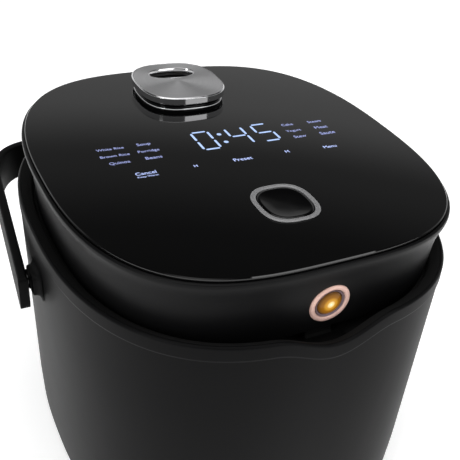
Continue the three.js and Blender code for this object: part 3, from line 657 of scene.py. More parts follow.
# %% Lid shell
lid_wall = sweep("lid_shell_skin", [
    at(1.95, HEIGHT - 2.6), at(1.9, HEIGHT - 2.2, 0.3), at(0.3, HEIGHT - 2.6, 0.6),
    at(0, HEIGHT - 4.6, 0.9), at(0.6, HEIGHT - 7), at(1.7, HEIGHT - 10.5),
    at(2.8, HEIGHT - 14.5), at(3.7, HEIGHT - 19),
    at(4.3, HEIGHT - 24), at(4.75, HEIGHT - 31), at(5.3, HEIGHT - 41), at(5.8, HEIGHT - 50, 0.6),
    at(8.2, HEIGHT - 50, 0.6), at(7, HEIGHT - 28), at(5.8, HEIGHT - 17), at(4.4, HEIGHT - 8.5),
    at(15, HEIGHT - 6), at(15, HEIGHT - 3.3), at(1.95, HEIGHT - 3.3),
], LID, "satin_black_lid", steps=384)
place(lid_wall, "lid", "satin_black_plastic", "lid_shell")

# %% [markdown]
# ## Cutting holes
# The glass is drilled for the button and the steam tube, and the cap has a slot. A hole in a
# finished solid is easiest as a boolean, with a cutter swept by the same tree. Modelling each
# hole's edge into the grid of its piece would tie the two shapes together.

# %% Cut one solid out of another
THROUGH = 9


def cut(piece, *cutters, sharp=math.radians(30)):
    for cutter in cutters:
        step = piece.modifiers.new("cut", "BOOLEAN")
        step.operation = "DIFFERENCE"
        step.solver = "EXACT"
        step.object = cutter
    solid = evaluated_mesh(piece)
    piece.modifiers.clear()
    piece.data = solid
    for cutter in cutters:
        bpy.data.objects.remove(cutter)
    return tidy(piece, sharp)


# %% [markdown]
# ## The glass top
# One sheet of black glass covers the lid. Its edge is ground to a thin chamfer that shines all
# round, and it stands a hair's width off the lid's wall.

# %% Glass
tube_centre = (0.0, middle("steam_tube").y)
glass = sweep("glass_panel_skin", [
    ring(0, HEIGHT), at(2.7, HEIGHT), at(2.2, HEIGHT - 0.5), at(2.2, HEIGHT - 3), ring(0, HEIGHT - 3),
], LID, "black_glass", closed=False, steps=384)
button_cutter = sweep("button_cutter", [
    ring(0, HEIGHT + THROUGH), at(1.2, HEIGHT + THROUGH), at(1.2, HEIGHT - THROUGH),
    ring(0, HEIGHT - THROUGH),
], BUTTON, "black_glass", (0.0, BUTTON_AT.y), closed=False, steps=96)
valve_cutter = sweep("valve_cutter", [
    ring(0, HEIGHT + THROUGH), ring(13.2, HEIGHT + THROUGH), ring(13.2, HEIGHT - THROUGH),
    ring(0, HEIGHT - THROUGH),
], ROUND, "black_glass", tube_centre, closed=False, steps=64)
place(cut(glass, button_cutter, valve_cutter), "lid", "black_glass", "glass_panel")

# %% [markdown]
# ## Release button
# A satin ring frames a glossy button that is dished for a fingertip. Under it a flat-sided stem
# reaches down to the latch, and its slanted foot turns the push into a slide. The ring and the
# button are swept like the lid, while the stem is a plain prism, because nothing on it is round.

# %% Button and its ring
button_centre = (0.0, BUTTON_AT.y)
ring_round_button = sweep("button_trim_ring_skin", [
    at(0, HEIGHT + 0.3), at(0.1, HEIGHT + 0.8, 0.3), at(0.8, HEIGHT + 1.15, 0.4),
    at(2.3, HEIGHT + 1.15, 0.4), at(3, HEIGHT + 0.6, 0.3), at(3, HEIGHT - 8), at(2, HEIGHT - 8),
    at(2, HEIGHT + 0.3),
], BUTTON, "satin_trim", button_centre)
place(ring_round_button, "lid", "satin_trim", "button_trim_ring")
button = sweep("release_button_skin", [
    ring(0, HEIGHT - 0.15), at(11, HEIGHT + 0.05), at(7, HEIGHT + 0.45), at(4.6, HEIGHT + 0.8, 0.7),
    at(3.5, HEIGHT + 0.2, 0.4), at(3.5, HEIGHT - 6), ring(0, HEIGHT - 6),
], BUTTON, "gloss_black", button_centre, closed=False)
place(button, "release_button", "gloss_black_plastic", "release_button")


def prism(name, near, far):
    """A solid between two matching outlines, given as points in millimetres."""
    count = len(near)
    mesh = bpy.data.meshes.new(name)
    points = [tuple(part * MM for part in point) for point in near + far]
    sides = [(i, (i + 1) % count, count + (i + 1) % count, count + i) for i in range(count)]
    ends = [tuple(range(count))[::-1], tuple(range(count, 2 * count))]
    mesh.from_pydata(points, [], ends + sides)
    return mesh


STEM_HALF = 3.0
STEM_TOP, STEM_RAMP, STEM_FOOT = HEIGHT - 6.2, HEIGHT - 32.4, HEIGHT - 40
stem_side = [(-4, STEM_TOP), (-4, STEM_FOOT), (-3.6, STEM_FOOT), (4, STEM_RAMP), (4, STEM_TOP)]
stem_mesh = prism("button_stem", *([(x, BUTTON_AT.y + y, z) for y, z in stem_side]
                                   for x in (-STEM_HALF, STEM_HALF)))
stem_mesh.materials.append(FINISH["gloss_black"])
stem = add_object("button_stem", stem_mesh)
place(tidy(stem), "release_button", "gloss_black_plastic")

# %% [markdown]
# ## Steam cap
# The cap is a black body under a thick steel plate. The plate is turned on a lathe, so its top is
# covered with fine rings. A slot near its back lets the steam out, and a polished lip lines it.
# The polished edge and the lip are pieces of their own, because their finish differs from the top's.

# %% Cap
cap_centre = (0.0, CAP_AT.y)
CAP_TOP = CAP_AT.z * 2 - low("cap_plate").z
CAP_LOW = low("cap_plate").z
SLOT_BACK = 13.3
SLOT = {"Half Width": 17.3, "Half Depth": 8.9, "Side Power": 2.5, "Front Power": 2.1,
        "Back Power": 2.1}
slot_centre = (0.0, CAP_AT.y + SLOT_BACK)
plate = sweep("cap_plate_skin", [
    ring(0, CAP_TOP - 0.15), at(1.1, CAP_TOP - 0.15), at(1.1, CAP_LOW + 0.1), ring(0, CAP_LOW + 0.1),
], CAP, "brushed_steel", cap_centre, closed=False)
slot_cutter = sweep("slot_cutter", [
    ring(0, CAP_TOP + THROUGH), at(0, CAP_TOP + THROUGH), at(0, CAP_LOW - THROUGH),
    ring(0, CAP_LOW - THROUGH),
], SLOT, "brushed_steel", slot_centre, closed=False, steps=96)
plate = cut(plate, slot_cutter)
band = sweep("cap_band", [
    at(1.0, CAP_TOP - 0.5), at(1.0, CAP_TOP - 0.05, 0.1), at(0.7, CAP_TOP, 0.1),
    at(0, CAP_TOP - 0.7, 0.15), at(0, CAP_LOW + 0.5, 0.2), at(0.5, CAP_LOW, 0.15), at(1.2, CAP_LOW),
], CAP, "mirror_steel", cap_centre, steps=256)
place(band, "vent_cap", "brushed_steel")
place(plate, "vent_cap", "brushed_steel", "cap_plate")
lip = sweep("slot_lip", [
    at(-0.35, CAP_TOP - 0.1), at(-0.3, CAP_TOP + 0.02, 0.1), at(0.2, CAP_TOP - 0.1, 0.3),
    at(0.9, CAP_TOP - 1.6, 1.2), at(1.1, CAP_LOW + 0.4), at(0.05, CAP_LOW + 0.4),
    at(0.05, CAP_TOP - 0.3),
], SLOT, "mirror_steel", slot_centre, steps=128)
place(lip, "vent_cap", "brushed_steel")
neck = sweep("cap_body_skin", [
    at(2, HEIGHT + 1.1, 0.2), at(1.8, HEIGHT + 2, 0.5), at(5, HEIGHT + 2.6, 0.4), at(5, CAP_LOW - 0.3),
    at(10, CAP_LOW - 0.3), at(10, HEIGHT + 1.1),
], CAP, "gloss_black", cap_centre)
place(neck, "vent_cap", "matte_black_plastic", "cap_body")
foot_ring = sweep("vent_trim_ring_skin", [
    at(1.4, HEIGHT + 0.1), at(1.5, HEIGHT + 0.55, 0.2), at(2.1, HEIGHT + 0.8, 0.2),
    at(3.4, HEIGHT + 0.8, 0.2), at(4, HEIGHT + 0.1),
], CAP, "bright_steel", cap_centre)
place(foot_ring, "lid", "steel", "vent_trim_ring")

# %% [markdown]
# ## Turned pieces
# The pot, the liner, the gasket and the plates are all turned or spun, so they are swept round a
# plain circle. The pot's rim rolls outwards into the flange that hangs on the collar.

# %% Pot, liner, plate, gasket and inner lid
def turned(name, corners, look, body, slot, *nodes, closed=True, centre=(0.0, None), steps=128):
    return place(sweep(name, corners, ROUND, look, centre, closed, steps), body, slot, *nodes)


turned("inner_pot_skin", [
    ring(0, POT_FLOOR), ring(92, POT_FLOOR), ring(103, POT_FLOOR + 5, 6),
    ring(108, POT_FLOOR + 16, 6), ring(108, FLANGE - 2), ring(110, FLANGE, 1),
    ring(116.5, FLANGE, 0.4), ring(116.5, FLANGE + 1.8, 0.7), ring(108.4, FLANGE + 1.8, 1.6),
    ring(106, FLANGE - 1, 1.6), ring(106, POT_FLOOR + 16.5, 6), ring(101.6, POT_FLOOR + 6.6, 6),
    ring(91.5, POT_FLOOR + 2, 3), ring(0, POT_FLOOR + 2),
], "nonstick", "cooker_body", "nonstick", "inner_pot", closed=False)
for count, rise in enumerate((46, 70, 94), 1):
    turned(f"pot_level_{count}", [
        ring(106.05, POT_FLOOR + rise + 0.5), ring(105.6, POT_FLOOR + rise + 0.2, 0.2),
        ring(105.6, POT_FLOOR + rise - 0.2, 0.2), ring(106.05, POT_FLOOR + rise - 0.5),
    ], "nonstick", "cooker_body", "nonstick")
turned("inner_liner_skin", [
    ring(113, 166.7, 0.5), ring(113, 34), ring(107, 27, 2), ring(70, 27), ring(70, 28.5),
    ring(106.4, 28.5, 2), ring(111.5, 34.6, 2), ring(111.5, 166.7, 0.5),
], "spun_aluminium", "cooker_body", "aluminium", "inner_liner")
turned("heating_plate_skin", [
    ring(16, 32), ring(76, 32), ring(84, 30), ring(84, 37, 0.8), ring(81, 39.5, 1), ring(62, 39.5),
    ring(61, 39, 0.4), ring(60, 39.5), ring(42, 39.5), ring(41, 39, 0.4), ring(40, 39.5),
    ring(16, 39.5, 0.6),
], "spun_aluminium", "cooker_body", "aluminium", "heating_plate")
turned("sealing_gasket_skin", [
    ring(107, 172.5, 0.8), ring(114.5, 172.5, 1), ring(114.5, 177.4, 0.5), ring(113.3, 177.4, 0.4),
    ring(113.3, 174.7, 0.5), ring(107, 174.7, 0.8),
], "silicone", "lid", "silicone", "sealing_gasket")
inner_lid = sweep("inner_lid_skin", [
    ring(0, 176.8), ring(60, 176.8), ring(62, 176.2, 1), ring(96, 176.2), ring(98, 176.8, 1),
    ring(101, 175, 1), ring(113, 175, 0.4), ring(113, 176.4, 0.4), ring(102, 176.4),
    ring(99, 178.4), ring(0, 178.4),
], ROUND, "spun_aluminium", closed=False, steps=160)
LINING_LOW, LINING_HIGH = 165, 190
TUBE_HOLE_R = 12.6


def tube_cutter(look):
    """A round cutter for the steam tube's way through a lining of the lid."""
    return sweep("tube_cutter", [
        ring(0, LINING_HIGH), ring(TUBE_HOLE_R, LINING_HIGH), ring(TUBE_HOLE_R, LINING_LOW),
        ring(0, LINING_LOW),
    ], ROUND, look, tube_centre, closed=False, steps=64)


place(cut(inner_lid, tube_cutter("spun_aluminium")), "lid", "aluminium", "inner_lid")
print("pot and lid linings made")

# %% Plate that closes the lid from below
cover = sweep("lid_inner_cover_skin", [
    ring(0, 179), at(12, 179), at(9, 179.3, 1), at(8, 180, 0.8), at(8, 181.7), ring(0, 181.7),
], LID, "matte_black", closed=False, steps=256)
TOE_FRONT = 123.9
TOE_SLOT = {"Half Width": 12.0, "Half Depth": 3.7, "Side Power": 12.0, "Front Power": 12.0,
            "Back Power": 12.0}
round_cutter = tube_cutter("matte_black")
toe_cutter = sweep("toe_cutter", [
    ring(0, LINING_HIGH), at(0, LINING_HIGH), at(0, LINING_LOW), ring(0, LINING_LOW),
], TOE_SLOT, "matte_black", (0.0, BODY_Y - TOE_FRONT), closed=False, steps=96)
place(cut(cover, round_cutter, toe_cutter), "lid", "matte_black_plastic", "lid_inner_cover")

# %% [markdown]
# ## Lamp
# A round lamp sits in the lid's front wall: a rose-gold ring, a mauve bezel and an amber dome lit
# from behind. Its rings are swept flat and then tipped to face the front, leaning with the wall.
# The light is brightest in the middle, so the dome's glow falls off with the distance from there.

# %% Lamp finish
LAMP_TILT = math.radians(3.4)
LAMP_FACE = Vector((0.0, BODY_Y - 132.8, HEIGHT - 31.2))
LAMP_R = 13.0


def make_lens_finish():
    material, tree, shader = new_material("amber_lens")
    shader.inputs["Roughness"].default_value = 0.12
    shader.inputs["Specular IOR Level"].default_value = 0.12
    shader.inputs["Emission Strength"].default_value = 1.0
    parts = put(tree, "ShaderNodeSeparateXYZ", Vector=arm_from(tree, LAMP_FACE * MM)).outputs
    share = calc(tree, "DIVIDE", distance(tree, parts[0], parts[2]), 0.63 * LAMP_R * MM)
    light = color_ramp(tree, share, [
        (0.0, (1.0, 0.95, 0.80)), (0.15, (1.0, 0.78, 0.36)), (0.36, (0.62, 0.30, 0.030)),
        (0.66, (0.26, 0.105, 0.008)), (1.0, (0.085, 0.035, 0.008))])
    feed(tree, shader.inputs["Emission Color"], light)
    feed(tree, shader.inputs["Base Color"], times(tree, light, (0.12, 0.12, 0.12, 1)))
    return material


FINISH["amber_lens"] = make_lens_finish()


# %% Lamp rings and dome
def lamp_piece(name, corners, look, slot, node, closed=True):
    piece = sweep(name, corners, ROUND, look, (0.0, 0.0), closed, 96)
    tip = Matrix.Rotation(math.pi / 2, 4, "X")
    lean = Matrix.Rotation(LAMP_TILT, 4, "X")
    piece.data.transform(Matrix.Translation(LAMP_FACE * MM) @ lean @ tip)
    return place(piece, "lid", slot, node)


lamp_piece("lamp_trim_ring_skin", [
    ring(0.74 * LAMP_R, -3), ring(0.74 * LAMP_R, 0.6, 0.5), ring(0.79 * LAMP_R, 1.35, 0.6),
    ring(LAMP_R - 0.9, 1.5, 0.6), ring(LAMP_R, 0.8, 0.5), ring(LAMP_R, -0.2), ring(LAMP_R - 1.3, -3),
], "rose_gold", "copper_trim", "lamp_trim_ring")
lamp_piece("lamp_bezel_skin", [
    ring(0.625 * LAMP_R, -0.2), ring(0.64 * LAMP_R, 0.35, 0.3), ring(0.72 * LAMP_R, 0.95, 0.4),
    ring(0.74 * LAMP_R - 0.3, 0.6, 0.2), ring(0.74 * LAMP_R - 0.3, -3), ring(0.63 * LAMP_R, -3),
], "mauve", "mauve_plastic", "lamp_bezel")
dome = [ring(0.0, 2.0)] + [ring(0.61 * LAMP_R * math.sin(a), 0.1 + 1.9 * math.cos(a))
                           for a in np.linspace(0.1, math.pi / 2, 14)]
lamp_piece("lamp_lens_skin", dome + [ring(0.61 * LAMP_R, -3.0), ring(0.0, -3.0)], "amber_lens",
           "amber_lens", "lamp_lens", closed=False)

# %% [markdown]
# ## Handle
# The bail is one flat strap that runs from one pivot round the back to the other. A path with a
# rounded bar carried along it gives that shape, so Geometry Nodes sweep it: the free ends are
# then rounded by keeping the strap's top and bottom edges inside two arcs near each end.
# Bending a finished bar with a modifier would stretch it at the corners.

# %% Geometry Nodes: a strap along a path
def make_strap_tree():
    tree, given, out = tree_with("GeometryNodeTree", "strap_along_path", [
        ("Geometry", "NodeSocketGeometry", None), ("Thickness", "NodeSocketFloat", 4.2),
        ("Tall", "NodeSocketFloat", 28.0), ("Edge Radius", "NodeSocketFloat", 1.2),
        ("Front", "NodeSocketFloat", 0.0), ("Top Corner", "NodeSocketFloat", 2.0),
        ("Bottom Corner", "NodeSocketFloat", 7.0), ("Material", "NodeSocketMaterial", None),
    ], [("Geometry", "NodeSocketGeometry")])
    path = put(tree, "GeometryNodeMeshToCurve", Mesh=given["Geometry"])
    bar = put(tree, "GeometryNodeCurvePrimitiveQuadrilateral", Width=given["Thickness"],
              Height=given["Tall"])
    rounded = put(tree, "GeometryNodeFilletCurve", Curve=bar.outputs[0], Radius=given["Edge Radius"])
    rounded.mode = "POLY"
    rounded.inputs["Count"].default_value = 5
    solid = put(tree, "GeometryNodeCurveToMesh", Curve=path.outputs[0], Fill_Caps=True)
    feed(tree, solid.inputs["Profile Curve"], rounded.outputs[0])
    where = put(tree, "GeometryNodeInputPosition").outputs[0]
    spot = put(tree, "ShaderNodeSeparateXYZ", Vector=where).outputs
    half = calc(tree, "DIVIDE", given["Tall"], 2.0)
    gone = calc(tree, "SUBTRACT", spot[1], given["Front"])

    def limit(corner):
        left = calc(tree, "MAXIMUM", 0.0, calc(tree, "SUBTRACT", given[corner], gone))
        inner = calc(tree, "SUBTRACT", calc(tree, "MULTIPLY", given[corner], given[corner]),
                     calc(tree, "MULTIPLY", left, left))
        rise = calc(tree, "SQRT", calc(tree, "MAXIMUM", 0.0, inner))
        return calc(tree, "SUBTRACT", half, calc(tree, "SUBTRACT", given[corner], rise))

    capped = calc(tree, "MINIMUM", spot[2], limit("Top Corner"))
    kept = calc(tree, "MAXIMUM", capped, calc(tree, "MULTIPLY", -1.0, limit("Bottom Corner")))
    moved = put(tree, "GeometryNodeSetPosition", Geometry=solid.outputs[0],
                Position=put(tree, "ShaderNodeCombineXYZ", X=spot[0], Y=spot[1], Z=kept).outputs[0])
    return end_tree(tree, moved.outputs[0], given, out)


# %% Bail
BAIL_X, BAIL_FRONT, BAIL_END = 140.7, -9.0, 112.0
BAIL_TAPER = 0.08
BAIL_BEND = (3.6, 148.0)
BAIL_CORNER = (103.0, 154.1)
BAIL_CROWN, BAIL_BACK = 170.1, 162.1
BAIL_DROP = 6.6
BAIL_TILT = math.radians(3.0)


def bail_path():
    """Middle line of the strap, from the left arm's free end to the right one's."""
    arm_x = BAIL_X - BAIL_TAPER * (BAIL_END - BAIL_FRONT)
    corner_x, corner_y = BAIL_CORNER
    arm = [(-BAIL_X + (BAIL_X - arm_x) * t, BAIL_FRONT + (BAIL_END - BAIL_FRONT) * t)
           for t in np.concatenate((np.linspace(0, 0.07, 12), np.linspace(0.1, 0.96, 10)))]

    def bend(a, b, c, count):
        a, b, c = map(np.array, (a, b, c))
        return [tuple((1 - t) ** 2 * a + 2 * t * (1 - t) * b + t ** 2 * c)
                for t in np.linspace(0, 1, count, endpoint=False)]

    corner = bend((-arm_x, BAIL_END), (BAIL_BEND[0] - arm_x, BAIL_BEND[1]), (-corner_x, corner_y), 28)
    back = bend((-corner_x, corner_y), (0.0, BAIL_CROWN), (corner_x, corner_y), 40)
    left = arm + corner + back[:20]
    return left + [(0.0, BAIL_BACK)] + [(-x, y) for x, y in reversed(left)]


path_mesh = bpy.data.meshes.new("bail_path")
points = [(x, y, 0.0) for x, y in bail_path()]
path_mesh.from_pydata(points, [(i, i + 1) for i in range(len(points) - 1)], [])
bail = run_tree("handle_bail_skin", path_mesh, make_strap_tree(), **{
    "Front": BAIL_FRONT, "Thickness": 6.0, "Edge Radius": 1.6, "Top Corner": 3.0,
    "Bottom Corner": 9.0, "Material": FINISH["bail_black"]})
lift = Matrix.Translation(Vector((0.0, BODY_Y, PIVOT_AT.z)) * MM)
tilt = Matrix.Rotation(BAIL_TILT, 4, "X")
bail.data.transform(lift @ tilt @ Matrix.Translation((0, 0, -BAIL_DROP * MM)) @ Matrix.Scale(MM, 4))
place(tidy(bail), "handle", "satin_black_plastic", "handle_bail")
print("bail box", [round(v, 4) for v in (*bail.dimensions,)])


# %% Bosses that carry the bail's pins, flared where they grow out of the wall
BOSS = {"Half Width": 8.0, "Half Depth": 9.0, "Side Power": 4.0, "Front Power": 4.0,
        "Back Power": 4.0}
BOSS_DROP = 1.5


def sideways(piece, sign, height):
    """Turn a piece that was swept upright to stand out from the body's left or right side."""
    turn = Matrix.Rotation(sign * math.pi / 2, 4, "Y")
    piece.data.transform(Matrix.Translation((0, BODY_Y * MM, height * MM)) @ turn)
    return tidy(piece)


def boss(name, sign, node):
    piece = sweep(name, [
        at(-4.2, 130.4), at(-2.2, 130.8), at(-0.9, 131.6), at(-0.2, 133), at(0, 135.4, 1.0),
        ring(0, 135.4),
    ], BOSS, "bail_black", (0.0, 0.0), closed=False, steps=96)
    return place(sideways(piece, sign, PIVOT_AT.z - BOSS_DROP), "cooker_body",
                 "satin_black_plastic", node)


def washer(name, sign):
    """Black washer that fills the room between the boss and the strap."""
    piece = sweep(name, [
        ring(4.4, 135.2), ring(4.4, 136.4, 0.2), ring(6.4, 136.4, 0.4), ring(6.4, 135.2),
    ], ROUND, "bail_black", (0.0, 0.0), steps=64)
    return place(sideways(piece, sign, PIVOT_AT.z), "cooker_body", "satin_black_plastic")


washer("handle_washer_left", -1)
washer("handle_washer_right", 1)
boss("handle_boss_left_skin", -1, "handle_boss_left")
boss("handle_boss_right_skin", 1, "handle_boss_right")

# %% [markdown]
# ## Display
# The time is shown by seven-segment digits behind the glass. A segment is one tapered bar, so
# Geometry Nodes place a copy of it on each lit spot, turned to lie along or across. The black
# glass lets no light through here, so the marks lie a hair above it instead of below.

# %% Geometry Nodes: copies of a mark on points
def make_marks_tree():
    tree, given, out = tree_with("GeometryNodeTree", "marks_on_points", [
        ("Geometry", "NodeSocketGeometry", None), ("Mark", "NodeSocketObject", None),
        ("Size", "NodeSocketFloat", 1.0), ("Material", "NodeSocketMaterial", None),
    ], [("Geometry", "NodeSocketGeometry")])
    mark = put(tree, "GeometryNodeObjectInfo", Object=given["Mark"])
    spin = put(tree, "ShaderNodeCombineXYZ", X=0.0, Y=0.0, Z=attribute(tree, "turn"))
    copies = put(tree, "GeometryNodeInstanceOnPoints", Points=given["Geometry"],
                 Instance=mark.outputs["Geometry"], Rotation=spin.outputs[0], Scale=given["Size"])
    return end_tree(tree, copies.outputs[0], given, out)


MARKS = make_marks_tree()


def copies(name, mark_mesh, spots, look, size=1.0):
    """Copies of a mesh at (x, y, z, turn) spots, in metres and radians."""
    mark = add_object(name + "_mark", mark_mesh)
    host = bpy.data.meshes.new(name + "_spots")
    host.from_pydata([spot[:3] for spot in spots], [], [])
    turns = host.attributes.new("turn", "FLOAT", "POINT")
    turns.data.foreach_set("value", [spot[3] for spot in spots])
    piece = run_tree(name, host, MARKS, **{"Mark": mark, "Size": size, "Material": FINISH[look]})
    bpy.data.objects.remove(mark)
    return piece


def slab(name, corners, thick):
    """A flat prism from plan corners in millimetres."""
    return prism(name, *([(x, y, z) for x, y in corners] for z in (0.0, thick)))


# %% Digits and colon
WIDE, TALL, BAR, GAP_BETWEEN = 13.5, 26.0, 1.6, 2.2
THIN, PRINT_LIFT = 0.05, 0.01
LIT = {"0": "abcdef", "4": "bcfg", "5": "acdfg"}
SPOTS = {"a": (0, 1), "g": (0, 0), "d": (0, -1), "f": (-1, 0.5), "b": (1, 0.5), "e": (-1, -0.5),
         "c": (1, -0.5)}


def bar(name, length):
    """A bar along Y whose ends taper to a blunt point."""
    half, side, tip = length / 2, BAR / 2, 0.35
    return slab(name, [(-side, -half + side), (-tip, -half), (tip, -half), (side, -half + side),
                       (side, half - side), (tip, half), (-tip, half), (-side, half - side)], THIN)


def segment_spots(upright):
    spots = []
    for digit, x in (("0", -12.3), ("4", 12.3), ("5", 32.2)):
        for segment in LIT[digit]:
            across, along = SPOTS[segment]
            if (across != 0) == upright:
                spots.append(((x + across * (WIDE - BAR) / 2) * MM,
                              (BODY_Y + TALL / 2 + along * (TALL - BAR) / 2) * MM,
                              (HEIGHT + PRINT_LIFT) * MM, 0.0 if upright else math.pi / 2))
    return spots


def lit(piece):
    """A glowing mark that rides on the lid."""
    return place(tidy(piece), "lid", "black_glass")


lit(copies("digit_uprights", bar("upright_bar", (TALL - BAR) / 2 - GAP_BETWEEN), segment_spots(True),
           "digit_glow"))
lit(copies("digit_crossbars", bar("cross_bar", WIDE - BAR - GAP_BETWEEN), segment_spots(False),
           "digit_glow"))
dot = slab("colon_dot", [(BAR * math.cos(a), BAR * math.sin(a))
                         for a in np.arange(16) / 16 * 2 * math.pi], THIN)
lit(copies("colon_dots", dot, [(0.0, (BODY_Y + y) * MM, (HEIGHT + PRINT_LIFT) * MM, 0.0)
                               for y in (18.7, 7.2)], "digit_glow"))

# %% [markdown]
# ## Labels
# Small words name the programmes round the digits. They are plain function words set in a plain
# face, turned to a mesh and laid on the glass at the width each one needs.

# %% Labels
LABEL_LIFT = 0.03
LABELS = [
    ("White Rice", -75, 18.6, 17.4), ("Brown Rice", -75, 9.4, 18.5), ("Quinoa", -75, 0.2, 13),
    ("Soup", -53, 19.2, 9), ("Porridge", -53, 9.9, 14), ("Beans", -53, 0.6, 10.7),
    ("Cake", 53, 19.2, 9), ("Yogurt", 53, 9.7, 11.4), ("Stew", 53, 0.5, 9.6),
    ("Steam", 75, 18.6, 10.7), ("Meat", 75, 9.2, 10.2), ("Saute", 75, 0.0, 11.9),
    ("Cancel", -64.4, -16.6, 13), ("Keep Warm", -64.4, -20.4, 13), ("Menu", 65.5, -18.9, 10),
    ("H", -32.3, -17.3, 2.3), ("M", 33.1, -17, 2.8), ("Preset", 0, -17.7, 13),
]


def label(words, x, y, width):
    text = bpy.data.curves.new("label", "FONT")
    text.body = words
    text.align_x, text.align_y = "CENTER", "CENTER"
    text.extrude = 0.006
    text.resolution_u = 3
    holder = add_object("label_text", text)
    mesh = evaluated_mesh(holder)
    size = width * MM / max(holder.dimensions.x, 1e-6)
    bpy.data.objects.remove(holder)
    mesh.transform(Matrix.Translation((x * MM, (BODY_Y + y) * MM, (HEIGHT + LABEL_LIFT) * MM))
                   @ Matrix.Scale(size, 4))
    return mesh


def joined(name, meshes, look):
    work = bmesh.new()
    for mesh in meshes:
        work.from_mesh(mesh)
    whole = bpy.data.meshes.new(name)
    work.to_mesh(whole)
    work.free()
    whole.materials.clear()
    whole.materials.append(FINISH[look])
    return add_object(name, whole)


PROGRAMMES = 12
lit(joined("programme_labels", [label(*row) for row in LABELS[:PROGRAMMES]], "label_glow"))
lit(joined("key_labels", [label(*row) for row in LABELS[PROGRAMMES:]], "key_glow"))

# %% [markdown]
# ## Springs
# Three coil springs work inside the lid and the base: one lifts the button, one opens the lid and
# one holds the sensor against the pot. One tree winds them all from a few sizes.

# %% Geometry Nodes: coil spring
def make_spring_tree():
    tree, given, out = tree_with("GeometryNodeTree", "coil_spring", [
        ("Geometry", "NodeSocketGeometry", None), ("Turns", "NodeSocketFloat", 5.0),
        ("Coil Radius", "NodeSocketFloat", 0.01), ("Length", "NodeSocketFloat", 0.02),
        ("Wire Radius", "NodeSocketFloat", 0.0005), ("Material", "NodeSocketMaterial", None),
    ], [("Geometry", "NodeSocketGeometry")])
    coil = put(tree, "GeometryNodeCurveSpiral", Resolution=28, Rotations=given["Turns"],
               Start_Radius=given["Coil Radius"], End_Radius=given["Coil Radius"],
               Height=given["Length"])
    wire = put(tree, "GeometryNodeCurvePrimitiveCircle", Resolution=10, Radius=given["Wire Radius"])
    solid = put(tree, "GeometryNodeCurveToMesh", Curve=coil.outputs[0], Fill_Caps=True)
    feed(tree, solid.inputs["Profile Curve"], wire.outputs[0])
    return end_tree(tree, solid.outputs[0], given, out)


SPRING = make_spring_tree()


BODY_OF = {node: body for body, nodes in frame["record"]["behaviour"]["bodies"].items()
           for node in nodes}
WIRE = 0.5 * MM


def spring(node, turns, along="Z"):
    """A coil that fills the box of its CAD node."""
    lowest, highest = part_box(node)
    size = highest - lowest
    length = (size.x if along == "X" else size.z) - 2 * WIRE
    piece = run_tree(node + "_skin", bpy.data.meshes.new(node), SPRING, **{
        "Turns": float(turns), "Coil Radius": size.y / 2 - WIRE, "Length": length,
        "Wire Radius": WIRE, "Material": FINISH["bright_steel"]})
    centre = (lowest + highest) / 2
    lay = Matrix.Rotation(math.pi / 2, 4, "Y") if along == "X" else Matrix.Identity(4)
    piece.data.transform(Matrix.Translation(centre) @ lay @ Matrix.Translation((0, 0, -length / 2)))
    return place(tidy(piece), BODY_OF[node], "steel", node)


def press(piece):
    """Give a spring a mesh of its own."""
    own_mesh(piece)


press(spring("button_spring", 5))
press(spring("sensor_spring", 5))
spring("hinge_spring", 9, "X")

# %% [markdown]
# ## Moulded fittings
# The hinge, the inlet, the base and the small mechanical pieces are square-cut in the frame. A
# real moulding or stamping has a small radius on every edge, so a welded copy of each one gets
# a narrow bevel, and the edges then catch light.

# %% Soften the edges of a copy of a CAD node
def moulded(node, look, slot, width=0.35, angle=28.0):
    source = frame["nodes"][node]
    mesh = source.data.copy()
    work = bmesh.new()
    work.from_mesh(mesh)
    bmesh.ops.remove_doubles(work, verts=work.verts, dist=2e-6)
    bmesh.ops.dissolve_limit(work, angle_limit=math.radians(1.0), verts=work.verts, edges=work.edges)
    work.to_mesh(mesh)
    work.free()
    for layer in list(mesh.uv_layers):
        mesh.uv_layers.remove(layer)
    if "custom_normal" in mesh.attributes:
        mesh.attributes.remove(mesh.attributes["custom_normal"])
    mesh.materials.clear()
    mesh.materials.append(FINISH[look])
    piece = add_object(node + "_skin", mesh)
    edge = piece.modifiers.new("edge", "BEVEL")
    edge.width = width * MM
    edge.segments = 2
    edge.limit_method = "ANGLE"
    edge.angle_limit = math.radians(angle)
    edge.use_clamp_overlap = True
    soft = evaluated_mesh(piece)
    piece.modifiers.clear()
    piece.data = soft
    return place(tidy(piece), BODY_OF[node], slot, node)


MOULDED = {
    "hinge_tower_left": ("satin_black", "satin_black_plastic"),
    "hinge_tower_right": ("satin_black", "satin_black_plastic"),
    "lid_hinge_leaf": ("matte_black", "matte_black_plastic"),
    "hinge_pin": ("bright_steel", "steel"),
    "handle_pin_left": ("gloss_black", "steel"), "handle_pin_right": ("gloss_black", "steel"),
    "base_plate": ("matte_black", "matte_black_plastic"),
    "power_inlet": ("satin_black", "satin_black_plastic"),
    "inlet_pin_live": ("brass", "brass"), "inlet_pin_neutral": ("brass", "brass"),
    "inlet_pin_earth": ("brass", "brass"),
    # The latch strike is steel, but it takes the black handle finish. This is painted shade that darkens
    # the gap between the collar and the lid's wall.
    "latch_strike": ("bail_black", "steel"), "latch_slider": ("matte_black", "matte_black_plastic"),
    "button_guide": ("matte_black", "matte_black_plastic"),
    "power_board": ("board_green", "circuit_board"), "display_board": ("board_green", "circuit_board"),
    "lamp_board": ("board_green", "circuit_board"),
    "sensor_guide": ("bright_steel", "steel"), "sensor_seat": ("bright_steel", "steel"),
    "pot_sensor": ("bright_steel", "steel"), "heating_element": ("bright_steel", "steel"),
    "steam_tube": ("silicone", "silicone"), "pressure_valve": ("bright_steel", "steel"),
    "cap_seal": ("silicone", "silicone"), "cap_baffle": ("matte_black", "matte_black_plastic"),
}
for node, (look, slot) in MOULDED.items():
    moulded(node, look, slot)

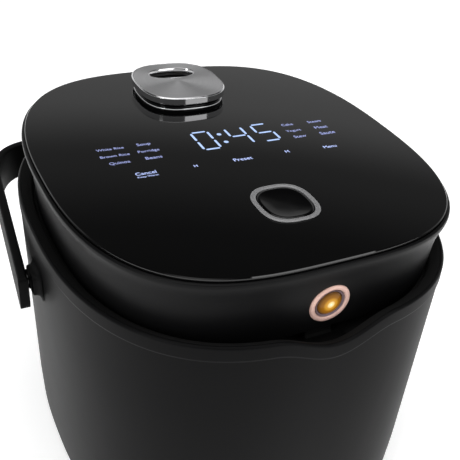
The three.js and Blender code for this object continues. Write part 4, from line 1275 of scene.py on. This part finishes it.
# %% [markdown]
# ## Feet
# Four rubber feet hold the cooker off the table. Each is turned with a rounded tread, and a loop
# places them where the frame has them, so that a change to one reaches all four.

# %% Feet
for name in ("foot_front_left", "foot_front_right", "foot_rear_left", "foot_rear_right"):
    spot = middle(name)
    top = high(name).z
    turned(name + "_skin", [
        ring(0, 0), ring(6, 0), ring(6.4, 0.6, 0.3), ring(7.2, 0.6, 0.3), ring(7.6, 0, 0.4),
        ring(9.4, 0.2, 0.8), ring(10, 1.2, 0.6), ring(10, top, 0.3), ring(0, top),
    ], "rubber", "cooker_body", "black_rubber", name, closed=False, centre=(spot.x, spot.y), steps=48)

# %% [markdown]
# ## Studio
# A pale floor and two large soft lamps. Black glass shows little but reflections, so the sky is a
# soft gradient that fades from light at the horizon to nearly black, which turns the back of the
# top grey and its front black. Overhead it is bright again, where the glass doesn't mirror it, to
# light the walls. A single plain sky would have left the glass one flat tone.

# %% Floor
FLOOR_GLOW = 0.45
FLOOR_HALF = 40


def add_floor():
    material, tree, shader = new_material("studio_floor")
    place_at = put(tree, "ShaderNodeTexCoord").outputs["Object"]
    soft = put(tree, "ShaderNodeTexNoise", Vector=place_at, Scale=3.0, Detail=2.0)
    tint = put(tree, "ShaderNodeMix", {"data_type": "RGBA"}, Factor=soft.outputs[0])
    tint.inputs[6].default_value = (0.93, 0.93, 0.93, 1)
    tint.inputs[7].default_value = (0.95, 0.95, 0.95, 1)
    feed(tree, shader.inputs["Base Color"], tint.outputs[2])
    shader.inputs["Roughness"].default_value = 0.9
    shader.inputs["Specular IOR Level"].default_value = 0.0
    feed(tree, shader.inputs["Emission Color"], tint.outputs[2])
    shader.inputs["Emission Strength"].default_value = FLOOR_GLOW
    mesh = bpy.data.meshes.new("studio_floor")
    far = FLOOR_HALF
    mesh.from_pydata([(-far, -far, 0), (far, -far, 0), (far, far, 0), (-far, far, 0)], [], [(0, 1, 2, 3)])
    mesh.materials.append(material)
    add_object("studio_floor", mesh)


# %% Sky, from the horizon to overhead
SKY = [(0.0, 1.0), (0.16, 0.9), (0.30, 0.52), (0.40, 0.41), (0.47, 0.14), (0.56, 0.05), (0.64, 0.035),
       (0.80, 0.05), (0.88, 1.2), (1.0, 2.2)]


def add_sky():
    world = bpy.data.worlds.new("studio_sky")
    world.use_nodes = True
    bpy.context.scene.world = world
    tree = world.node_tree
    background = tree.nodes["Background"]
    direction = put(tree, "ShaderNodeTexCoord").outputs["Generated"]
    rise = put(tree, "ShaderNodeSeparateXYZ", Vector=direction).outputs[2]
    light = color_ramp(tree, rise, [(spot, (level,) * 3) for spot, level in SKY])
    feed(tree, background.inputs["Color"], light)
    background.inputs["Strength"].default_value = 1.0


# %% Lamps
def add_area(name, where, towards, size, power, only_shine=False):
    """A softbox; one that only shines is seen in glossy surfaces and lights nothing else."""
    light = bpy.data.lights.new(name, "AREA")
    light.shape = "RECTANGLE"
    light.size, light.size_y = size
    light.energy = power
    holder = add_object(name, light)
    holder.location = where
    holder.visible_glossy = only_shine
    holder.visible_diffuse = not only_shine
    holder.rotation_euler = (Vector(towards) - Vector(where)).to_track_quat("-Z", "Y").to_euler()


add_floor()
add_sky()
add_area("left_softbox", (-1.4, -0.5, 0.7), (0, 0, 0.15), (1.2, 0.9), 14)
add_area("right_softbox", (1.3, -0.8, 0.8), (0, 0, 0.15), (1.0, 0.9), 10)
add_area("front_shine", (0.62, -1.16, 1.15), (0, 0.08, 0.24), (0.75, 0.8), 6.0, only_shine=True)
add_area("left_shine", (-1.13, -0.58, 1.15), (0, 0.08, 0.24), (0.35, 0.5), 5.0, only_shine=True)
bpy.context.scene.view_settings.view_transform = "Standard"
